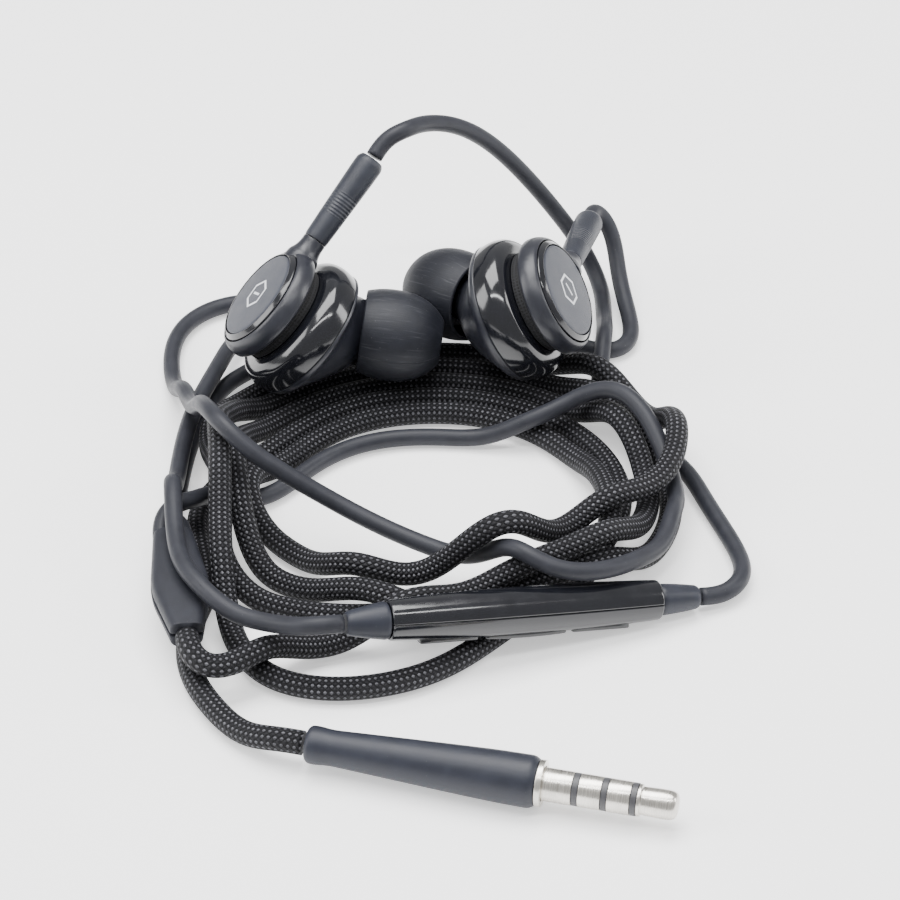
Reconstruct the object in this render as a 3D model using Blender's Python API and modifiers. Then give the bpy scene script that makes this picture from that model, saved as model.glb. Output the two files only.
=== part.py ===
"""Wired in-ear earphones laid on a table.

Two buds rest on a loosely wound cord, in front of them lie the remote and the audio
plug, and a splitter joins the two upper cords to the braided one. Metres, +Z up,
the table is z = 0, +X is to the right and +Y is away from someone in front of it.
Sizes below are in millimetres and every builder function turns them into metres.
"""

import math

import bmesh
import bpy
import numpy as np
from mathutils import Matrix, Vector

MM = 0.001
FIT = 0.1  # clearance between pieces that are fitted together
GAP = 0.4  # gap between a cord and whatever it meets
OUTER_STEPS = 28  # facets round an outer piece
INNER_STEPS = 18  # facets round a piece inside a casing

# ---- where the middle of the footprint is, in the layout's own millimetres
FOOTPRINT_MIDDLE = (2.85, 5.55)

# ---- bud: sizes along its own axis, z = 0 at the middle of the glossy ring
FACE_R = 5.5
FACE_TOP_Z = 6.95
FACE_DOME = 0.12
FACE_THICK = 1.1
BEZEL_WIDTH = 0.6
BEZEL_DROP = 0.42
DRUM_WALL = 0.85
DRUM_REAR_Z = 4.1
DRUM_NECK_STEP = 0.5
DRUM_NECK_R = FACE_R - DRUM_NECK_STEP
RING_R = 8.5
RING_FRONT_Z = 2.7
PARTING_Z = -0.95
CASE_WALL = 0.9
WIRE_HOLE_R = 1.3
STEM_Z = 4.95
STEM_NECK_R = 1.42
STEM_NECK_END = 9.0
STEM_END = 20.7
STEM_R = 1.72
NOZZLE_DIR = (0.38, 0.45, -0.81)
NOZZLE_BASE = (1.45, 3.8, -5.7)
NOZZLE_R = 2.3
NOZZLE_WALL = 0.55
NOZZLE_BORE_R = NOZZLE_R - NOZZLE_WALL
NOZZLE_LENGTH = 5.6
CONE_END_R = 3.7
TIP_R = 5.4
TIP_LENGTH = 9.6
TIP_SKIRT = 0.55
TIP_CLEARANCE = 0.4
TIP_BORE_R = NOZZLE_R + TIP_CLEARANCE
TIP_WALL = 0.75
WOOFER_R = 5.5
TWEETER_R = 3.6
DIAPHRAGM_TRAVEL = 0.15

# ---- remote, along its own axis
BODY_LENGTH = 31.0
BODY_R = 2.55
BODY_END_R = 2.2
SHELL_WALL = 0.6
RELIEF_LENGTH = 4.6
KEY_LENGTHS = (6.6, 9.4, 6.6)
KEY_GAP = 0.7
KEY_WIDTH = 2.0
KEY_PROUD = 0.25
KEY_TRAVEL = 0.25

# ---- plug, along its own axis
JACK_R = 1.75
JACK_LENGTH = 14.0
JACK_SLEEVE = 3.0
JACK_RING = 2.3
INSULATOR = 0.6
SEAM = 0.06
CORE_R = 0.45
HANDLE_LENGTH = 24.4
HANDLE_R = 2.75
HANDLE_END_R = 2.0
COLLAR_R = 2.45
COLLAR_LENGTH = 0.6

# ---- splitter
SPLITTER_LENGTH = 16.4
SPLITTER_WIDTH = 6.6
SPLITTER_THICK = 3.8

# ---- cords
RUBBER_D = 2.0
BRAID_D = 2.6

# ---- where the pieces lie: millimetres, and directions as (heading, rise) in degrees,
# heading counted from +X towards +Y
LEFT_BUD = {"place": (-15.0, 20.9, 9.9), "out": (179.2, 43.2), "stem": (44.6, 36.8)}
RIGHT_BUD = {"place": (10.1, 23.1, 11.0), "out": (-9.4, 30.3), "stem": (76.1, -7.6)}
REMOTE = {"left": (-10.0, -31.0, 8.2), "right": (30.5, -18.1, 1.5), "roll": -22.0}
SPLITTER = {"top": (-28.2, -12.4, 5.0), "bottom": (-25.7, -28.6, 4.8), "roll": -3.0}
PLUG = {"place": (11.2, -49.6, 2.75), "heading": -14.1}

# ---- the braided cord's loose coil: how far each turn reaches from the middle at every
# twelfth of a turn, clockwise from the front left, the bottom turn first
COIL_MIDDLE = (0.0, -3.0)
COIL_START_DEG = 210.0
COIL_STEP_DEG = -30.0
COIL_REACH = (
    (28.2, 25.9, 21.9, 21.8, 21.8, 22.2, 22.4, 21.4, 18.6, 16.3, 17.0, 21.0),
    (25.4, 23.2, 29.2, 30.7, 30.9, 31.6, 30.6, 26.0, 17.0, 16.9, 14.2, 15.8),
    (16.5, 20.5, 19.0, 18.9, 18.9, 19.3, 19.4, 20.0, 21.2, 20.9, 27.8, 33.0),
    (26.2, 23.3, 26.8, 27.7, 27.8, 28.0, 27.6, 27.2, 24.0, 19.0, 19.7, 18.4),
    (21.4, 21.7, 24.4, 24.7, 24.8, 25.1, 25.0, 24.6, 22.7, 19.4, 20.8, 28.4),
)
COIL_LAYERS = (  # which strand lies over which: the left, back and right, and front of a turn
    (1.0, 1.0, 1.0),
    (2.0, 6.0, 6.0),
    (3.0, 2.0, 2.0),
    (6.0, 3.0, 3.0),
    (4.0, 4.0, 7.0),
)
LEFT_KNOTS = 4
RIGHT_KNOTS = 10
PLUG_RUN = ((-19.2, -40.6), (-22.4, -36.7), (-24.9, -31.9), (-25.9, -27.0), (-25.4, -21.5))

COIL_END = ((-18.7, -31.2), (-22.8, -33.2))

# ---- the rubber cords: x, y, lowest z, layer
FREE = 99.0  # the layer of a stretch that stands clear of everything
LEFT_CORD = (
    (-3.8, 34.4, 28.2, FREE),
    (-1.5, 37.1, 27.6, FREE),
    (1.4, 39.8, 26.2, FREE),
    (4.7, 42.2, 23.6, FREE),
    (8.3, 44.1, 19.6, FREE),
    (12.0, 45.3, 14.6, FREE),
    (15.7, 45.8, 9.2, FREE),
    (18.6, 45.3, 4.8, FREE),
    (20.4, 43.2, 1.8, 0.5),
    (21.0, 37.5, 1.0, 0.5),
    (20.8, 30.0, 1.0, 0.5),
    (20.0, 23.0, 1.0, 0.5),
    (20.2, 17.8, 1.0, 0.5),
    (22.7, 13.9, 1.0, 0.5),
    (26.0, 9.4, 1.0, 0.5),
    (28.7, 6.2, 1.0, 0.5),
    (31.2, -0.4, 1.0, 0.5),
    (33.3, -6.7, 1.0, 0.5),
    (34.6, -12.0, 1.1, 0.5),
    (34.0, -16.0, 1.6, 0.5),
)
REMOTE_CORD = (
    (-15.5, -30.0, 6.4, 8.0),
    (-20.0, -27.9, 6.4, 8.0),
    (-24.1, -24.6, 7.9, 8.0),
    (-26.5, -20.6, 8.0, 8.0),
    (-27.6, -15.6, 8.0, 8.0),
    (-28.2, -9.3, 7.4, 8.0),
    (-28.6, -3.6, 3.4, 8.0),
    (-28.4, 5.3, 3.3, 8.0),
    (-27.5, 13.1, 3.3, 8.0),
    (-25.9, 19.4, 3.3, 8.0),
    (-24.5, 25.1, 3.0, 8.0),
    (-22.8, 30.6, 1.8, 8.0),
    (-19.6, 33.2, 1.0, 0.1),
    (-17.2, 30.6, 1.0, 0.1),
    (-19.4, 26.6, 1.0, 0.1),
    (-23.8, 22.4, 1.0, 0.1),
    (-26.2, 17.0, 1.0, 0.1),
    (-27.6, 11.0, 1.0, 0.1),
    (-28.4, 4.0, 1.0, 0.1),
    (-28.8, -2.0, 1.3, 1.4),
    (-28.8, -7.0, 3.2, 1.4),
)
RIGHT_CORD = (
    (21.5, 45.3, 8.6, FREE),
    (22.4, 44.0, 6.4, FREE),
    (22.8, 41.8, 4.2, FREE),
    (23.5, 38.3, 2.2, FREE),
    (24.2, 33.9, 1.2, 0.2),
    (23.8, 30.5, 1.0, 0.2),
    (21.7, 28.6, 1.0, 0.2),
    (17.5, 30.0, 1.0, 0.2),
    (10.0, 33.2, 1.0, 0.2),
    (2.0, 36.2, 1.0, 0.2),
    (-8.0, 38.0, 1.0, 0.2),
    (-18.0, 39.2, 1.0, 0.2),
    (-25.2, 38.5, 1.0, 0.2),
    (-29.3, 35.0, 1.0, 0.2),
    (-31.0, 29.5, 1.0, 0.2),
    (-30.2, 21.0, 1.0, 9.0),
    (-26.5, 6.9, 8.6, 9.0),
    (-22.5, -4.2, 13.2, 9.0),
    (-17.8, -6.6, 11.0, 9.0),
    (-13.4, -7.4, 8.3, 9.0),
    (-8.8, -8.9, 6.2, 9.0),
    (-3.2, -11.5, 4.8, 4.5),
    (2.3, -14.1, 4.2, 4.5),
    (7.4, -18.0, 5.6, 4.5),
    (12.5, -21.8, 8.0, 4.5),
    (18.4, -21.3, 7.6, 4.5),
    (23.0, -17.3, 6.2, 4.5),
    (26.0, -11.6, 4.6, 4.5),
    (27.5, -5.1, 3.0, 4.5),
    (27.6, -4.4, 1.4, 4.5),
    (27.0, 1.4, 1.0, 4.5),
    (25.2, 6.2, 1.0, 4.5),
    (22.4, 10.4, 1.0, 4.5),
    (18.0, 12.6, 1.0, 4.5),
    (13.0, 11.4, 1.0, 4.5),
    (7.5, 11.0, 1.0, 4.5),
    (0.0, 11.6, 1.0, 0.0),
    (-7.5, 10.4, 1.0, 0.0),
    (-13.2, 6.3, 1.0, 1.5),
    (-17.4, 1.2, 1.0, 1.5),
    (-21.5, -1.4, 1.0, 1.5),
    (-25.2, -3.6, 1.8, 1.5),
    (-26.4, -7.4, 3.4, 1.5),
)
SAMPLE = 1.0  # spacing of the points that the heights are worked out on
REST_GAP = 0.5  # air left between two strands that cross
BESIDE_GAP = 0.05  # air left between two strands that lie side by side
OWN_CLEAR = 12.0  # a strand takes no notice of itself nearer than this along it
SETTLING_STEPS = 5000
SINK = 0.002  # how far a strand sinks in each step where nothing holds it
BRAID_POINT_EVERY = 4.4
RUBBER_POINT_EVERY = 3.0


# ---------------------------------------------------------------- small tools
def clear_scene():
    for obj in list(bpy.data.objects):
        bpy.data.objects.remove(obj, do_unlink=True)


def collection(name):
    made = bpy.data.collections.new(name)
    bpy.context.scene.collection.children.link(made)
    return made


def material(name, colour, roughness, metallic=0.0):
    made = bpy.data.materials.new(name)
    made.use_nodes = True
    shader = made.node_tree.nodes["Principled BSDF"]
    shader.inputs["Base Color"].default_value = (*colour, 1.0)
    shader.inputs["Roughness"].default_value = roughness
    shader.inputs["Metallic"].default_value = metallic
    return made


def heading(degrees, rise):
    """Unit vector at a heading from +X towards +Y and a rise above the table."""
    a, b = math.radians(degrees), math.radians(rise)
    return Vector((math.cos(a) * math.cos(b), math.sin(a) * math.cos(b), math.sin(b)))


def frame_of(z_axis, y_axis):
    """Rotation whose z is z_axis and whose y is as near to y_axis as it can be."""
    z = z_axis.normalized()
    y = (y_axis - z * y_axis.dot(z)).normalized()
    x = y.cross(z)
    return Matrix((x, y, z)).transposed()


def empty(name, place, rotation):
    """An empty at a place in millimetres, which the pieces of one unit hang from."""
    made = bpy.data.objects.new(name, None)
    made.location = Vector(place) * MM
    made.rotation_mode = "QUATERNION"
    made.rotation_quaternion = rotation.to_quaternion()
    SCENE["parts"].objects.link(made)
    return made


def put(obj, finish, parent, place=(0, 0, 0), rotation=None, group="parts"):
    """Link an object, give it its material and hang it from its unit's empty."""
    SCENE[group].objects.link(obj)
    obj.data.materials.append(FINISH[finish])
    obj.parent = parent
    obj.location = Vector(place) * MM
    if rotation is not None:
        obj.rotation_mode = "QUATERNION"
        obj.rotation_quaternion = rotation.to_quaternion()
    return obj


def mesh_object(name, bm):
    data = bpy.data.meshes.new(name)
    bmesh.ops.recalc_face_normals(bm, faces=bm.faces)
    bm.to_mesh(data)
    bm.free()
    data.shade_smooth()
    data.set_sharp_from_angle(angle=math.radians(35))
    return bpy.data.objects.new(name, data)


def turned(name, profile, steps, closed=True):
    """A profile of (radius, z) in millimetres, down its outer side, turned about z."""
    bm = bmesh.new()
    points = [bm.verts.new((r * MM, 0.0, z * MM)) for r, z in profile]
    for a, b in zip(points, points[1:]):
        bm.edges.new((a, b))
    if closed:
        bm.edges.new((points[-1], points[0]))
    data = bpy.data.meshes.new(name)
    bm.to_mesh(data)
    bm.free()
    obj = bpy.data.objects.new(name, data)
    screw = obj.modifiers.new("turn", "SCREW")
    screw.axis = "Z"
    screw.angle = math.tau
    screw.steps = steps
    screw.render_steps = steps
    screw.use_merge_vertices = True
    screw.merge_threshold = 1e-6
    screw.use_smooth_shade = True
    return obj


def box(name, size, bevel=0.0):
    """A box of a size in millimetres about its own middle, with its edges rounded."""
    bm = bmesh.new()
    bmesh.ops.create_cube(bm, size=1.0)
    bmesh.ops.scale(bm, vec=Vector(size) * MM, verts=bm.verts)
    obj = mesh_object(name, bm)
    if bevel:
        edge = obj.modifiers.new("edge", "BEVEL")
        edge.width = bevel * MM
        edge.segments = 1
    return obj


def loft(name, rings, steps):
    """Circles of (middle, axis, radius) in millimetres, joined in a closed sequence."""
    bm = bmesh.new()
    loops = []
    for middle, axis, radius in rings:
        turn = frame_of(Vector(axis), Vector((0, 1, 0)))
        loop = []
        for i in range(steps):
            a = math.tau * i / steps
            edge = turn @ Vector((radius * math.cos(a), radius * math.sin(a), 0.0))
            loop.append(bm.verts.new((Vector(middle) + edge) * MM))
        loops.append(loop)
    for near, far in zip(loops, loops[1:] + loops[:1]):
        for i in range(steps):
            j = (i + 1) % steps
            bm.faces.new((near[i], near[j], far[j], far[i]))
    return mesh_object(name, bm)


def cut(obj, cutter, operation):
    step = obj.modifiers.new(operation.lower(), "BOOLEAN")
    step.operation = operation
    step.object = cutter
    cutter.hide_render = True
    cutter.display_type = "WIRE"


# ---------------------------------------------------------------- buds
def bud_empty(name, pose):
    turn = frame_of(heading(*pose["out"]), heading(*pose["stem"]))
    return empty(name, pose["place"], turn)


def face_and_bezel(side, bud):
    bezel_in = FACE_R + FIT
    bezel_out = bezel_in + BEZEL_WIDTH
    bottom = FACE_TOP_Z - FACE_THICK
    face = [
        (0, FACE_TOP_Z + FACE_DOME),
        (FACE_R * 0.55, FACE_TOP_Z + FACE_DOME * 0.75),
        (FACE_R * 0.93, FACE_TOP_Z + FACE_DOME * 0.1),
        (FACE_R, FACE_TOP_Z - 0.08),
        (FACE_R, bottom),
        (0, bottom),
    ]
    put(turned(f"{side}_face_plate", face, OUTER_STEPS, closed=False), "soft_black", bud)
    bezel = [
        (bezel_in, FACE_TOP_Z - 0.05),
        (bezel_in + 0.08, FACE_TOP_Z),
        (bezel_out, FACE_TOP_Z - BEZEL_DROP),
        (bezel_out, bottom),
        (bezel_in, bottom),
    ]
    put(turned(f"{side}_bezel_ring", bezel, OUTER_STEPS), "gloss_black", bud)


def rear_housing(side, bud):
    """The small drum behind the face, its neck, and the flare that the stem leaves by."""
    seat_r = FACE_R + 2 * FIT + BEZEL_WIDTH
    seat_z = FACE_TOP_Z - FACE_THICK - FIT
    lip_z = FACE_TOP_Z - BEZEL_DROP - 0.15
    drum_r = seat_r + DRUM_WALL
    neck_bottom = RING_FRONT_Z + FIT
    neck_in = DRUM_NECK_R - DRUM_WALL
    drum = [
        (seat_r + 0.12, lip_z),
        (seat_r + 0.5, lip_z - 0.3),
        (drum_r - 0.06, lip_z - 0.95),
        (drum_r, DRUM_REAR_Z + 0.6),
        (drum_r - 0.12, DRUM_REAR_Z + 0.15),
        (drum_r - 0.45, DRUM_REAR_Z),
        (DRUM_NECK_R, DRUM_REAR_Z),
        (DRUM_NECK_R, neck_bottom),
        (neck_in, neck_bottom),
        (neck_in, seat_z - 0.9),
        (FACE_R - 0.3, seat_z - 0.9),
        (FACE_R - 0.3, seat_z),
        (seat_r, seat_z),
    ]
    shell = turned(f"{side}_rear_housing", drum, OUTER_STEPS)
    put(shell, "satin_black", bud)
    flare_start = drum_r - DRUM_WALL * 0.7
    flare = [
        (0, STEM_NECK_END),
        (STEM_NECK_R, STEM_NECK_END),
        (STEM_NECK_R, flare_start + 1.6),
        (STEM_NECK_R + 0.16, flare_start + 0.8),
        (STEM_NECK_R + 0.3, flare_start),
        (0, flare_start),
    ]
    neck = turned(f"{side}_stem_flare", flare, INNER_STEPS, closed=False)
    along_y = Matrix.Rotation(math.radians(-90), 3, "X")
    put(neck, "satin_black", bud, (0, 0, STEM_Z), along_y, group="cutters")
    cut(shell, neck, "UNION")


def strain_relief(side, bud):
    """The rubber sleeve on the stem, a little thicker towards its chamfered end."""
    start = STEM_NECK_END + FIT
    sleeve = [
        (0, STEM_END),
        (STEM_R - 0.35, STEM_END),
        (STEM_R, STEM_END - 0.8),
        (STEM_R - 0.1, STEM_END - 6.0),
        (STEM_NECK_R + 0.04, start + 0.6),
        (STEM_NECK_R, start),
        (0, start),
    ]
    along_y = Matrix.Rotation(math.radians(-90), 3, "X")
    sleeve_object = turned(f"{side}_strain_relief", sleeve, INNER_STEPS, closed=False)
    put(sleeve_object, "soft_black", bud, (0, 0, STEM_Z), along_y)


def vent_ring(side, bud):
    inner = DRUM_NECK_R + FIT
    ring = [
        (inner + 1.0, DRUM_REAR_Z - FIT),
        (inner + 1.0, RING_FRONT_Z + FIT),
        (inner, RING_FRONT_Z + FIT),
        (inner, DRUM_REAR_Z - FIT),
    ]
    put(turned(f"{side}_vent_ring", ring, OUTER_STEPS), "mesh_black", bud)


def mid_housing(side, bud):
    """The glossy ring, with a front wall that the rear housing's neck stands on."""
    cavity_r = RING_R - CASE_WALL - 0.1
    front_r = DRUM_NECK_R + 1.35
    ring = [
        (front_r, RING_FRONT_Z),
        (front_r + (RING_R - front_r) * 0.45, RING_FRONT_Z - 0.2),
        (RING_R - 0.45, RING_FRONT_Z - 0.9),
        (RING_R - 0.07, RING_FRONT_Z - 1.8),
        (RING_R, RING_FRONT_Z - 2.6),
        (RING_R - 0.12, PARTING_Z),
        (cavity_r, PARTING_Z),
        (cavity_r, RING_FRONT_Z - 1.5),
        (cavity_r - 0.6, RING_FRONT_Z - 1.0),
        (WIRE_HOLE_R, RING_FRONT_Z - 1.0),
        (WIRE_HOLE_R, RING_FRONT_Z),
    ]
    put(turned(f"{side}_mid_housing", ring, OUTER_STEPS), "gloss_black", bud)


def nozzle_frame(hand):
    """Where the nozzle starts and which way it points, on the left (1) or right (-1) bud."""
    base = Vector((hand * NOZZLE_BASE[0], NOZZLE_BASE[1], NOZZLE_BASE[2]))
    way = Vector((hand * NOZZLE_DIR[0], NOZZLE_DIR[1], NOZZLE_DIR[2])).normalized()
    return base, way


def front_housing(side, bud, hand):
    """A shell that narrows from the ring to a leaning nozzle, open at both ends."""
    base, way = nozzle_frame(hand)
    down = Vector((0, 0, -1))
    top = Vector((0, 0, PARTING_Z - FIT))

    def between(share, drop):
        """A middle part of the way from the ring's axis to the nozzle's base."""
        return Vector((base.x * share, base.y * share, top.z - drop))

    def lean(share):
        return down.lerp(way, share).normalized()

    wall = CASE_WALL
    depth = top.z - base.z
    rings = [
        (top, down, RING_R - 0.14),
        (between(0.06, depth * 0.17), lean(0.1), RING_R - 0.45),
        (between(0.22, depth * 0.4), lean(0.3), (RING_R * 0.6 + CONE_END_R * 0.4) - 0.05),
        (between(0.55, depth * 0.72), lean(0.65), RING_R * 0.25 + CONE_END_R * 0.75 + 0.15),
        (base - way * 0.2, way, CONE_END_R),
        (base + way * 1.1, way, (CONE_END_R + NOZZLE_R) / 2 - 0.1),
        (base + way * 1.5, way, NOZZLE_R),
        (base + way * (NOZZLE_LENGTH - 1.2), way, NOZZLE_R),
        (base + way * (NOZZLE_LENGTH - 1.0), way, NOZZLE_R + 0.25),
        (base + way * (NOZZLE_LENGTH - 0.5), way, NOZZLE_R + 0.25),
        (base + way * NOZZLE_LENGTH, way, NOZZLE_R),
        (base + way * NOZZLE_LENGTH, way, NOZZLE_BORE_R),
        (base + way * 0.6, way, NOZZLE_BORE_R),
        (between(0.55, depth * 0.6), lean(0.55), RING_R * 0.25 + CONE_END_R * 0.75 - wall),
        (between(0.22, depth * 0.32), lean(0.25), RING_R * 0.6 + CONE_END_R * 0.4 - wall),
        (between(0.03, depth * 0.12), lean(0.05), RING_R - 0.5 - wall),
        (top, down, RING_R - 0.14 - wall),
    ]
    put(loft(f"{side}_front_housing", rings, OUTER_STEPS), "satin_black", bud)


def eartip_and_mesh(side, bud, hand):
    """The silicone tip on the nozzle, and the mesh disc in the nozzle's mouth."""
    base, way = nozzle_frame(hand)
    turn = frame_of(way, Vector((0, 1, 0)))
    bore = TIP_BORE_R
    core = bore + TIP_WALL
    hole = bore - 0.6
    length = TIP_LENGTH
    tip = [
        (hole, length - 0.35),
        (hole + 0.2, length - 0.05),
        (TIP_R * 0.5, length - 0.3),
        (TIP_R * 0.72, length - 1.15),
        (TIP_R * 0.88, length - 2.5),
        (TIP_R * 0.975, length - 4.3),
        (TIP_R, length * 0.38),
        (TIP_R * 0.975, length * 0.18),
        (TIP_R * 0.885, 0.05),
        (TIP_R * 0.87 - TIP_SKIRT * 0.8, 0.0),
        (TIP_R - TIP_SKIRT, length * 0.2),
        (TIP_R - TIP_SKIRT, length * 0.4),
        (TIP_R * 0.9 - TIP_SKIRT, length - 3.6),
        (core, length - 2.3),
        (core, 2.1),
        (bore, 2.1),
        (bore, length - 1.9),
        (hole, length - 1.5),
    ]
    tip_object = turned(f"{side}_eartip", tip, OUTER_STEPS)
    put(tip_object, "silicone", bud, base, turn)
    mesh = [
        (0, 0.3),
        (NOZZLE_BORE_R - FIT, 0.3),
        (NOZZLE_BORE_R - FIT, 0),
        (0, 0),
    ]
    mesh_place = base + way * (NOZZLE_LENGTH - 0.6)
    mesh_object_made = turned(f"{side}_nozzle_mesh", mesh, INNER_STEPS, closed=False)
    put(mesh_object_made, "steel", bud, mesh_place, turn)


def drivers(side, bud, hand):
    """The woofer's frame with its magnet, its diaphragm and coil, and the tweeter."""
    top = RING_FRONT_Z - 1.2
    rim = PARTING_Z + FIT
    gap_in, gap_out = WOOFER_R * 0.35, WOOFER_R * 0.48
    frame = [
        (0, top),
        (WOOFER_R * 0.6, top),
        (WOOFER_R * 0.6, top - 0.8),
        (WOOFER_R, top - 0.8),
        (WOOFER_R, rim),
        (WOOFER_R - 0.45, rim),
        (WOOFER_R - 0.45, top - 1.25),
        (gap_out, top - 1.25),
        (gap_out, top - 0.55),
        (gap_in, top - 0.55),
        (gap_in, top - 1.35),
        (0, top - 1.35),
    ]
    frame_object = turned(f"{side}_woofer_frame", frame, INNER_STEPS, closed=False)
    put(frame_object, "steel", bud)
    coil_in, coil_out = gap_in + 0.15, gap_out - 0.15
    cone_z = top - 1.85
    diaphragm = [
        (0, cone_z),
        (coil_in, cone_z + 0.1),
        (coil_in, top - 0.95),
        (coil_out, top - 0.95),
        (coil_out, cone_z + 0.1),
        (WOOFER_R - 0.75, cone_z + 0.1),
        (WOOFER_R - 0.75, cone_z - 0.05),
        (coil_out, cone_z - 0.08),
        (0, cone_z - 0.35),
    ]
    moving = turned(f"{side}_woofer_diaphragm", diaphragm, INNER_STEPS, closed=False)
    put(moving, "membrane", bud)
    tweeter = [
        (0, 0.5),
        (TWEETER_R * 0.6, 0.5),
        (TWEETER_R * 0.6, 0.1),
        (TWEETER_R, 0.1),
        (TWEETER_R, -0.7),
        (0, -0.7),
    ]
    place = (hand * NOZZLE_BASE[0] * 0.2, NOZZLE_BASE[1] * 0.2, PARTING_Z - 0.85)
    tweeter_object = turned(f"{side}_tweeter", tweeter, INNER_STEPS, closed=False)
    put(tweeter_object, "steel", bud, place)


def build_bud(side, pose, hand):
    bud = bud_empty(f"{side}_bud", pose)
    bud.parent = SCENE["root"]
    face_and_bezel(side, bud)
    rear_housing(side, bud)
    strain_relief(side, bud)
    vent_ring(side, bud)
    mid_housing(side, bud)
    front_housing(side, bud, hand)
    eartip_and_mesh(side, bud, hand)
    drivers(side, bud, hand)


# ---------------------------------------------------------------- remote
def remote_empty():
    """Its x runs along the remote, and its -z looks down and forward, where the keys are."""
    left, right = Vector(REMOTE["left"]), Vector(REMOTE["right"])
    along = (right - left).normalized()
    up = frame_of(along, Vector((0, 0, 1)))
    x, y = up.col[2], up.col[1]
    level = Matrix((x, y.cross(x), y)).transposed()
    turn = level @ Matrix.Rotation(math.radians(REMOTE["roll"]), 3, "X")
    made = empty("remote", (left + right) / 2, turn)
    made.parent = SCENE["root"]
    return made


ALONG_X = Matrix.Rotation(math.radians(90), 3, "Y")


def remote_blank(name, shrink, length, steps):
    """The body as a turned bar, a little thinner at its ends, smaller by shrink."""
    half = length / 2
    bar = [
        (0, half),
        (BODY_END_R - shrink - 0.12, half),
        (BODY_END_R - shrink, half - 0.3),
        (BODY_R - shrink, half * 0.45),
        (BODY_R - shrink, -half * 0.45),
        (BODY_END_R - shrink, -half + 0.3),
        (BODY_END_R - shrink - 0.12, -half),
        (0, -half),
    ]
    return turned(name, bar, steps, closed=False)


def key_places():
    """The middle and length of each key along the remote, left to right."""
    total = sum(KEY_LENGTHS) + KEY_GAP * (len(KEY_LENGTHS) - 1)
    x = -total / 2
    for length in KEY_LENGTHS:
        yield x + length / 2, length
        x += length + KEY_GAP


def build_remote():
    remote = remote_empty()
    inner = BODY_LENGTH - 2 * SHELL_WALL
    for name, above in (("remote_top_shell", 1), ("remote_key_shell", -1)):
        shell = remote_blank(name, 0.0, BODY_LENGTH, OUTER_STEPS)
        put(shell, "gloss_black", remote, rotation=ALONG_X)
        hollow = remote_blank(f"{name}_hollow", SHELL_WALL, inner, INNER_STEPS)
        put(hollow, "gloss_black", remote, rotation=ALONG_X, group="cutters")
        half = box(f"{name}_half", (BODY_LENGTH + 2, 3 * BODY_R, 2 * BODY_R))
        put(half, "gloss_black", remote, (0, 0, -above * (BODY_R - FIT / 2)), group="cutters")
        cut(shell, hollow, "DIFFERENCE")
        cut(shell, half, "DIFFERENCE")
        if above < 0:
            for i, (x, length) in enumerate(key_places()):
                size = (length + 2 * FIT, KEY_WIDTH + 2 * FIT, BODY_R)
                slot = box(f"key_slot_{i}", size)
                put(slot, "gloss_black", remote, (x, 0, -BODY_R), group="cutters")
                cut(shell, slot, "DIFFERENCE")
    board_z = 0.15
    board_t = 0.5
    board_width = 2 * math.sqrt((BODY_R - SHELL_WALL) ** 2 - (board_z + board_t) ** 2) - 0.5
    board = box("remote_board", (inner * 0.86, board_width, board_t))
    put(board, "board", remote, (0, 0, board_z))
    dome_h = 0.45
    dome_top = board_z - board_t / 2 - 0.02
    key_top = dome_top - dome_h - KEY_TRAVEL - 0.08
    key_bottom = -BODY_R - KEY_PROUD
    for (x, length), name in zip(key_places(), ("volume_up", "play", "volume_down")):
        key = box(f"{name}_key", (length, KEY_WIDTH, key_top - key_bottom), bevel=0.2)
        put(key, "gloss_black", remote, (x, 0, (key_top + key_bottom) / 2))
        dome = [(0, dome_h), (0.95, dome_h), (0.95, 0.1), (0.5, 0), (0, 0)]
        dome_object = turned(f"{name}_dome_switch", dome, 12, closed=False)
        put(dome_object, "steel", remote, (x, 0, dome_top - dome_h))
    capsule_h = BODY_R - SHELL_WALL - board_z - board_t / 2 - 0.4
    capsule = [(0, capsule_h), (0.8, capsule_h), (0.8, 0), (0, 0)]
    capsule_object = turned("microphone_capsule", capsule, 12, closed=False)
    put(capsule_object, "steel", remote, (inner * 0.36, 0, board_z + board_t / 2 + 0.02))
    for side, sign, root_r in (("left", -1, 2.05), ("right", 1, 1.75)):
        relief = [
            (0, RELIEF_LENGTH),
            (RUBBER_D / 2 + 0.2, RELIEF_LENGTH),
            (RUBBER_D / 2 + 0.35, RELIEF_LENGTH - 0.35),
            (root_r, 0.35),
            (root_r - 0.15, 0),
            (0, 0),
        ]
        cone = turned(f"remote_{side}_relief", relief, INNER_STEPS, closed=False)
        turn = Matrix.Rotation(math.radians(90 * sign), 3, "Y")
        put(cone, "soft_black", remote, (sign * (BODY_LENGTH / 2 + FIT), 0, 0), turn)


# ---------------------------------------------------------------- splitter
def splitter_frame():
    top, bottom = Vector(SPLITTER["top"]), Vector(SPLITTER["bottom"])
    along = (bottom - top).normalized()
    flat = frame_of(along, Vector((0, 0, 1)))
    y, z = flat.col[2], flat.col[1]
    level = Matrix((y.cross(z), y, z)).transposed()
    return top, level @ Matrix.Rotation(math.radians(SPLITTER["roll"]), 3, "Y")


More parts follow.
